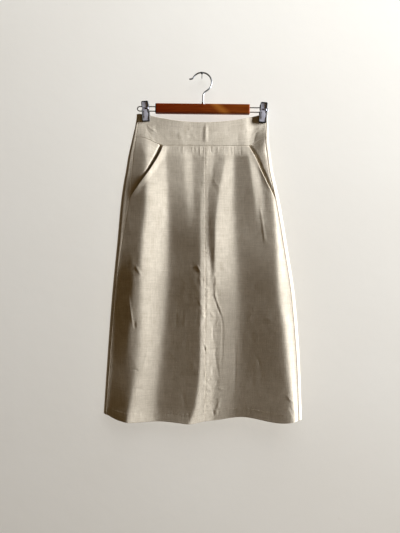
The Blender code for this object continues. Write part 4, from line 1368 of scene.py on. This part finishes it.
# A handled surface takes its clean and dulled colour, then its grain, polish and smudge.
THREAD = finish(
    "sewing_thread", {"Specular IOR Level": 0.3}, WEAR,
    ((0.56, 0.49, 0.39), (0.48, 0.41, 0.32), 4000.0, 0.65, 0.2),
)
ZIP_NYLON = finish(
    "zip_nylon", {"Specular IOR Level": 0.5}, WEAR,
    ((0.5, 0.43, 0.33), (0.44, 0.38, 0.29), 2500.0, 0.38, 0.15),
)
ZIP_METAL = finish(
    "zip_antique_metal", {"Metallic": 1.0}, WEAR,
    ((0.5, 0.45, 0.36), (0.36, 0.31, 0.24), 2200.0, 0.3, 0.25),
)
BRIGHT_WIRE = finish(
    "bright_wire", {"Metallic": 1.0}, WEAR,
    ((0.24, 0.24, 0.24), (0.16, 0.158, 0.155), 1200.0, 0.36, 0.14), (0.06, 0.0001),
)
STEEL = finish(
    "clip_steel", {"Metallic": 0.3, "Specular IOR Level": 0.5}, WEAR,
    ((0.5, 0.48, 0.52), (0.36, 0.345, 0.375), 1500.0, 0.36, 0.2), (0.15, 0.0001),
)
RUBBER = finish(
    "black_rubber", {"Specular IOR Level": 0.35}, WEAR,
    ((0.012, 0.012, 0.013), (0.035, 0.034, 0.033), 1800.0, 0.5, 0.2),
)
FLOOR = finish(
    "pale_floor", {"Specular IOR Level": 0.3}, WEAR,
    ((0.2, 0.145, 0.09), (0.17, 0.12, 0.07), 60.0, 0.6, 0.1), (0.1, 0.001),
)
WOOD = wood_finish()
PLASTER = plaster_finish()

# ---- the object ----
add_waistband()
add_panels()
add_pockets()
CUTS[bpy.data.objects["front_left_cloth"]]["with_pieces"] = [hem_stitches()]
add_zip()
add_hook()
add_bar()
for hanger_side in ("left", "right"):
    add_rail(hanger_side)
    add_clip(hanger_side)

# ---- the room ----
FLOOR_HEIGHT = -1.75
WALL_BEHIND, WALL_SIZE = 0.026, (7.0, 4.2)
FLOOR_SIZE = (26.0, 26.0)
NAIL_HEIGHT, NAIL_HEAD = -0.0013, -0.0042
SENSOR_WIDTH, FOCAL_LENGTH = 34.6, 26.0  # millimetres
CAMERA_PLACE = (-0.0054, -1.084, -0.5228)
UPRIGHT = (math.pi / 2, 0.0, 0.0)


def add_plane(name, size, place, turn, material):
    x, y = size[0] / 2, size[1] / 2
    obj = put(name, mesh_of(name, [(-x, -y, 0), (x, -y, 0), (x, y, 0), (-x, y, 0)], [(0, 1, 2, 3)], False),
              material)
    obj.location, obj.rotation_euler = place, turn
    return obj


def add_nail():
    shaft = sweep("shaft", [(0.0, y, NAIL_HEIGHT) for y in np.linspace(-0.004, 0.03, 8)], 0.001, 14)
    head = lathe("head", [(0.003, -0.0007), (0.0034, -0.0003), (0.0034, 0.0003), (0.0028, 0.0007)], 24)
    moved(head, 0.0, NAIL_HEAD, NAIL_HEIGHT, turn=Matrix.Rotation(math.pi / 2, 4, "X"))
    put("nail", joined("nail", [shaft, head]), RUBBER)


def add_light(name, lit, azimuth, elevation, distance, size, power, colour, target, shadow=True):
    """A soft panel that lights these objects alone: azimuth 0 is in front of them, 90 to the right."""
    data = bpy.data.lights.new(name, "AREA")
    data.shape = "RECTANGLE"
    data.size, data.size_y = size
    data.energy = power
    data.color = colour
    data.use_shadow = shadow
    lamp = bpy.data.objects.new(name, data)
    a, e = math.radians(azimuth), math.radians(elevation)
    way = Vector((math.sin(a) * math.cos(e), -math.cos(a) * math.cos(e), math.sin(e)))
    lamp.location = Vector(target) + way * distance
    lamp.rotation_mode = "QUATERNION"
    lamp.rotation_quaternion = way.to_track_quat("Z", "Y")
    bpy.context.scene.collection.objects.link(lamp)
    lamp.visible_camera = False
    receivers = bpy.data.collections.new(name + "_falls_on")
    for obj in lit:
        receivers.objects.link(obj)
    lamp.light_linking.receiver_collection = receivers


def add_world():
    """A weak warm fill, behind a plain backdrop that only the camera sees."""
    world = bpy.data.worlds.new("room")
    world.use_nodes = True
    n = Nodes(world.node_tree)
    fill = n.tree.nodes["Background"]
    fill.inputs["Color"].default_value = (1.0, 0.65, 0.2, 1.0)
    fill.inputs["Strength"].default_value = 0.075
    backdrop = n.add("Background", {"Color": (0.6, 0.58, 0.54, 1.0), "Strength": 0.75})
    seen = n.add("LightPath", {}).outputs["Is Camera Ray"]
    both = n.add("MixShader", {0: seen, 1: fill.outputs[0], 2: backdrop.outputs[0]})
    n.feed(n.tree.nodes["World Output"].inputs["Surface"], both.outputs[0])
    bpy.context.scene.world = world
    bpy.context.scene.view_settings.view_transform = "Standard"


def add_camera():
    lens = bpy.data.cameras.new("camera")
    lens.sensor_fit = "AUTO"
    lens.sensor_width = SENSOR_WIDTH
    lens.lens = FOCAL_LENGTH
    camera = bpy.data.objects.new("camera", lens)
    camera.location = CAMERA_PLACE
    camera.rotation_euler = UPRIGHT
    bpy.context.scene.collection.objects.link(camera)
    bpy.context.scene.camera = camera


wall = add_plane("wall", WALL_SIZE, (0.0, WALL_BEHIND, FLOOR_HEIGHT + WALL_SIZE[1] / 2), UPRIGHT, PLASTER)
wall.visible_shadow = False
room = [wall, add_plane("floor", FLOOR_SIZE, (0.0, 0.0, FLOOR_HEIGHT), (0.0, 0.0, 0.0), FLOOR)]
add_nail()
garment = [obj for obj in bpy.context.scene.objects if obj.type == "MESH" and obj not in room]
for obj in garment:
    if obj.name.startswith(("back_", "waistband_back_")):
        obj.visible_diffuse = False  # keeps its bright side from tinting the wall
# Name, lit objects, azimuth, elevation, distance, size, power, colour, target.
add_light("window_on_skirt", garment, 80, 14, 5.0, (0.8, 2.0), 1440, (0.885, 0.94, 1.03), (0.0, 0.0, -0.5))
add_light("window_on_wall", room, 38, 26, 4.0, (1.5, 1.8), 176, (0.985, 1.0, 1.02), (0.2, 0.0, -0.05),
          shadow=False)
add_light("room_on_wall", room, 16, 42, 3.0, (2.8, 2.6), 36, (1.0, 1.0, 0.99), (0.0, 0.0, 0.1))
add_light("back_fill", garment, 158, 35, 3.0, (2.0, 2.0), 45, (1.0, 0.97, 0.93), (0.0, 0.0, -0.5))
add_world()
add_camera()
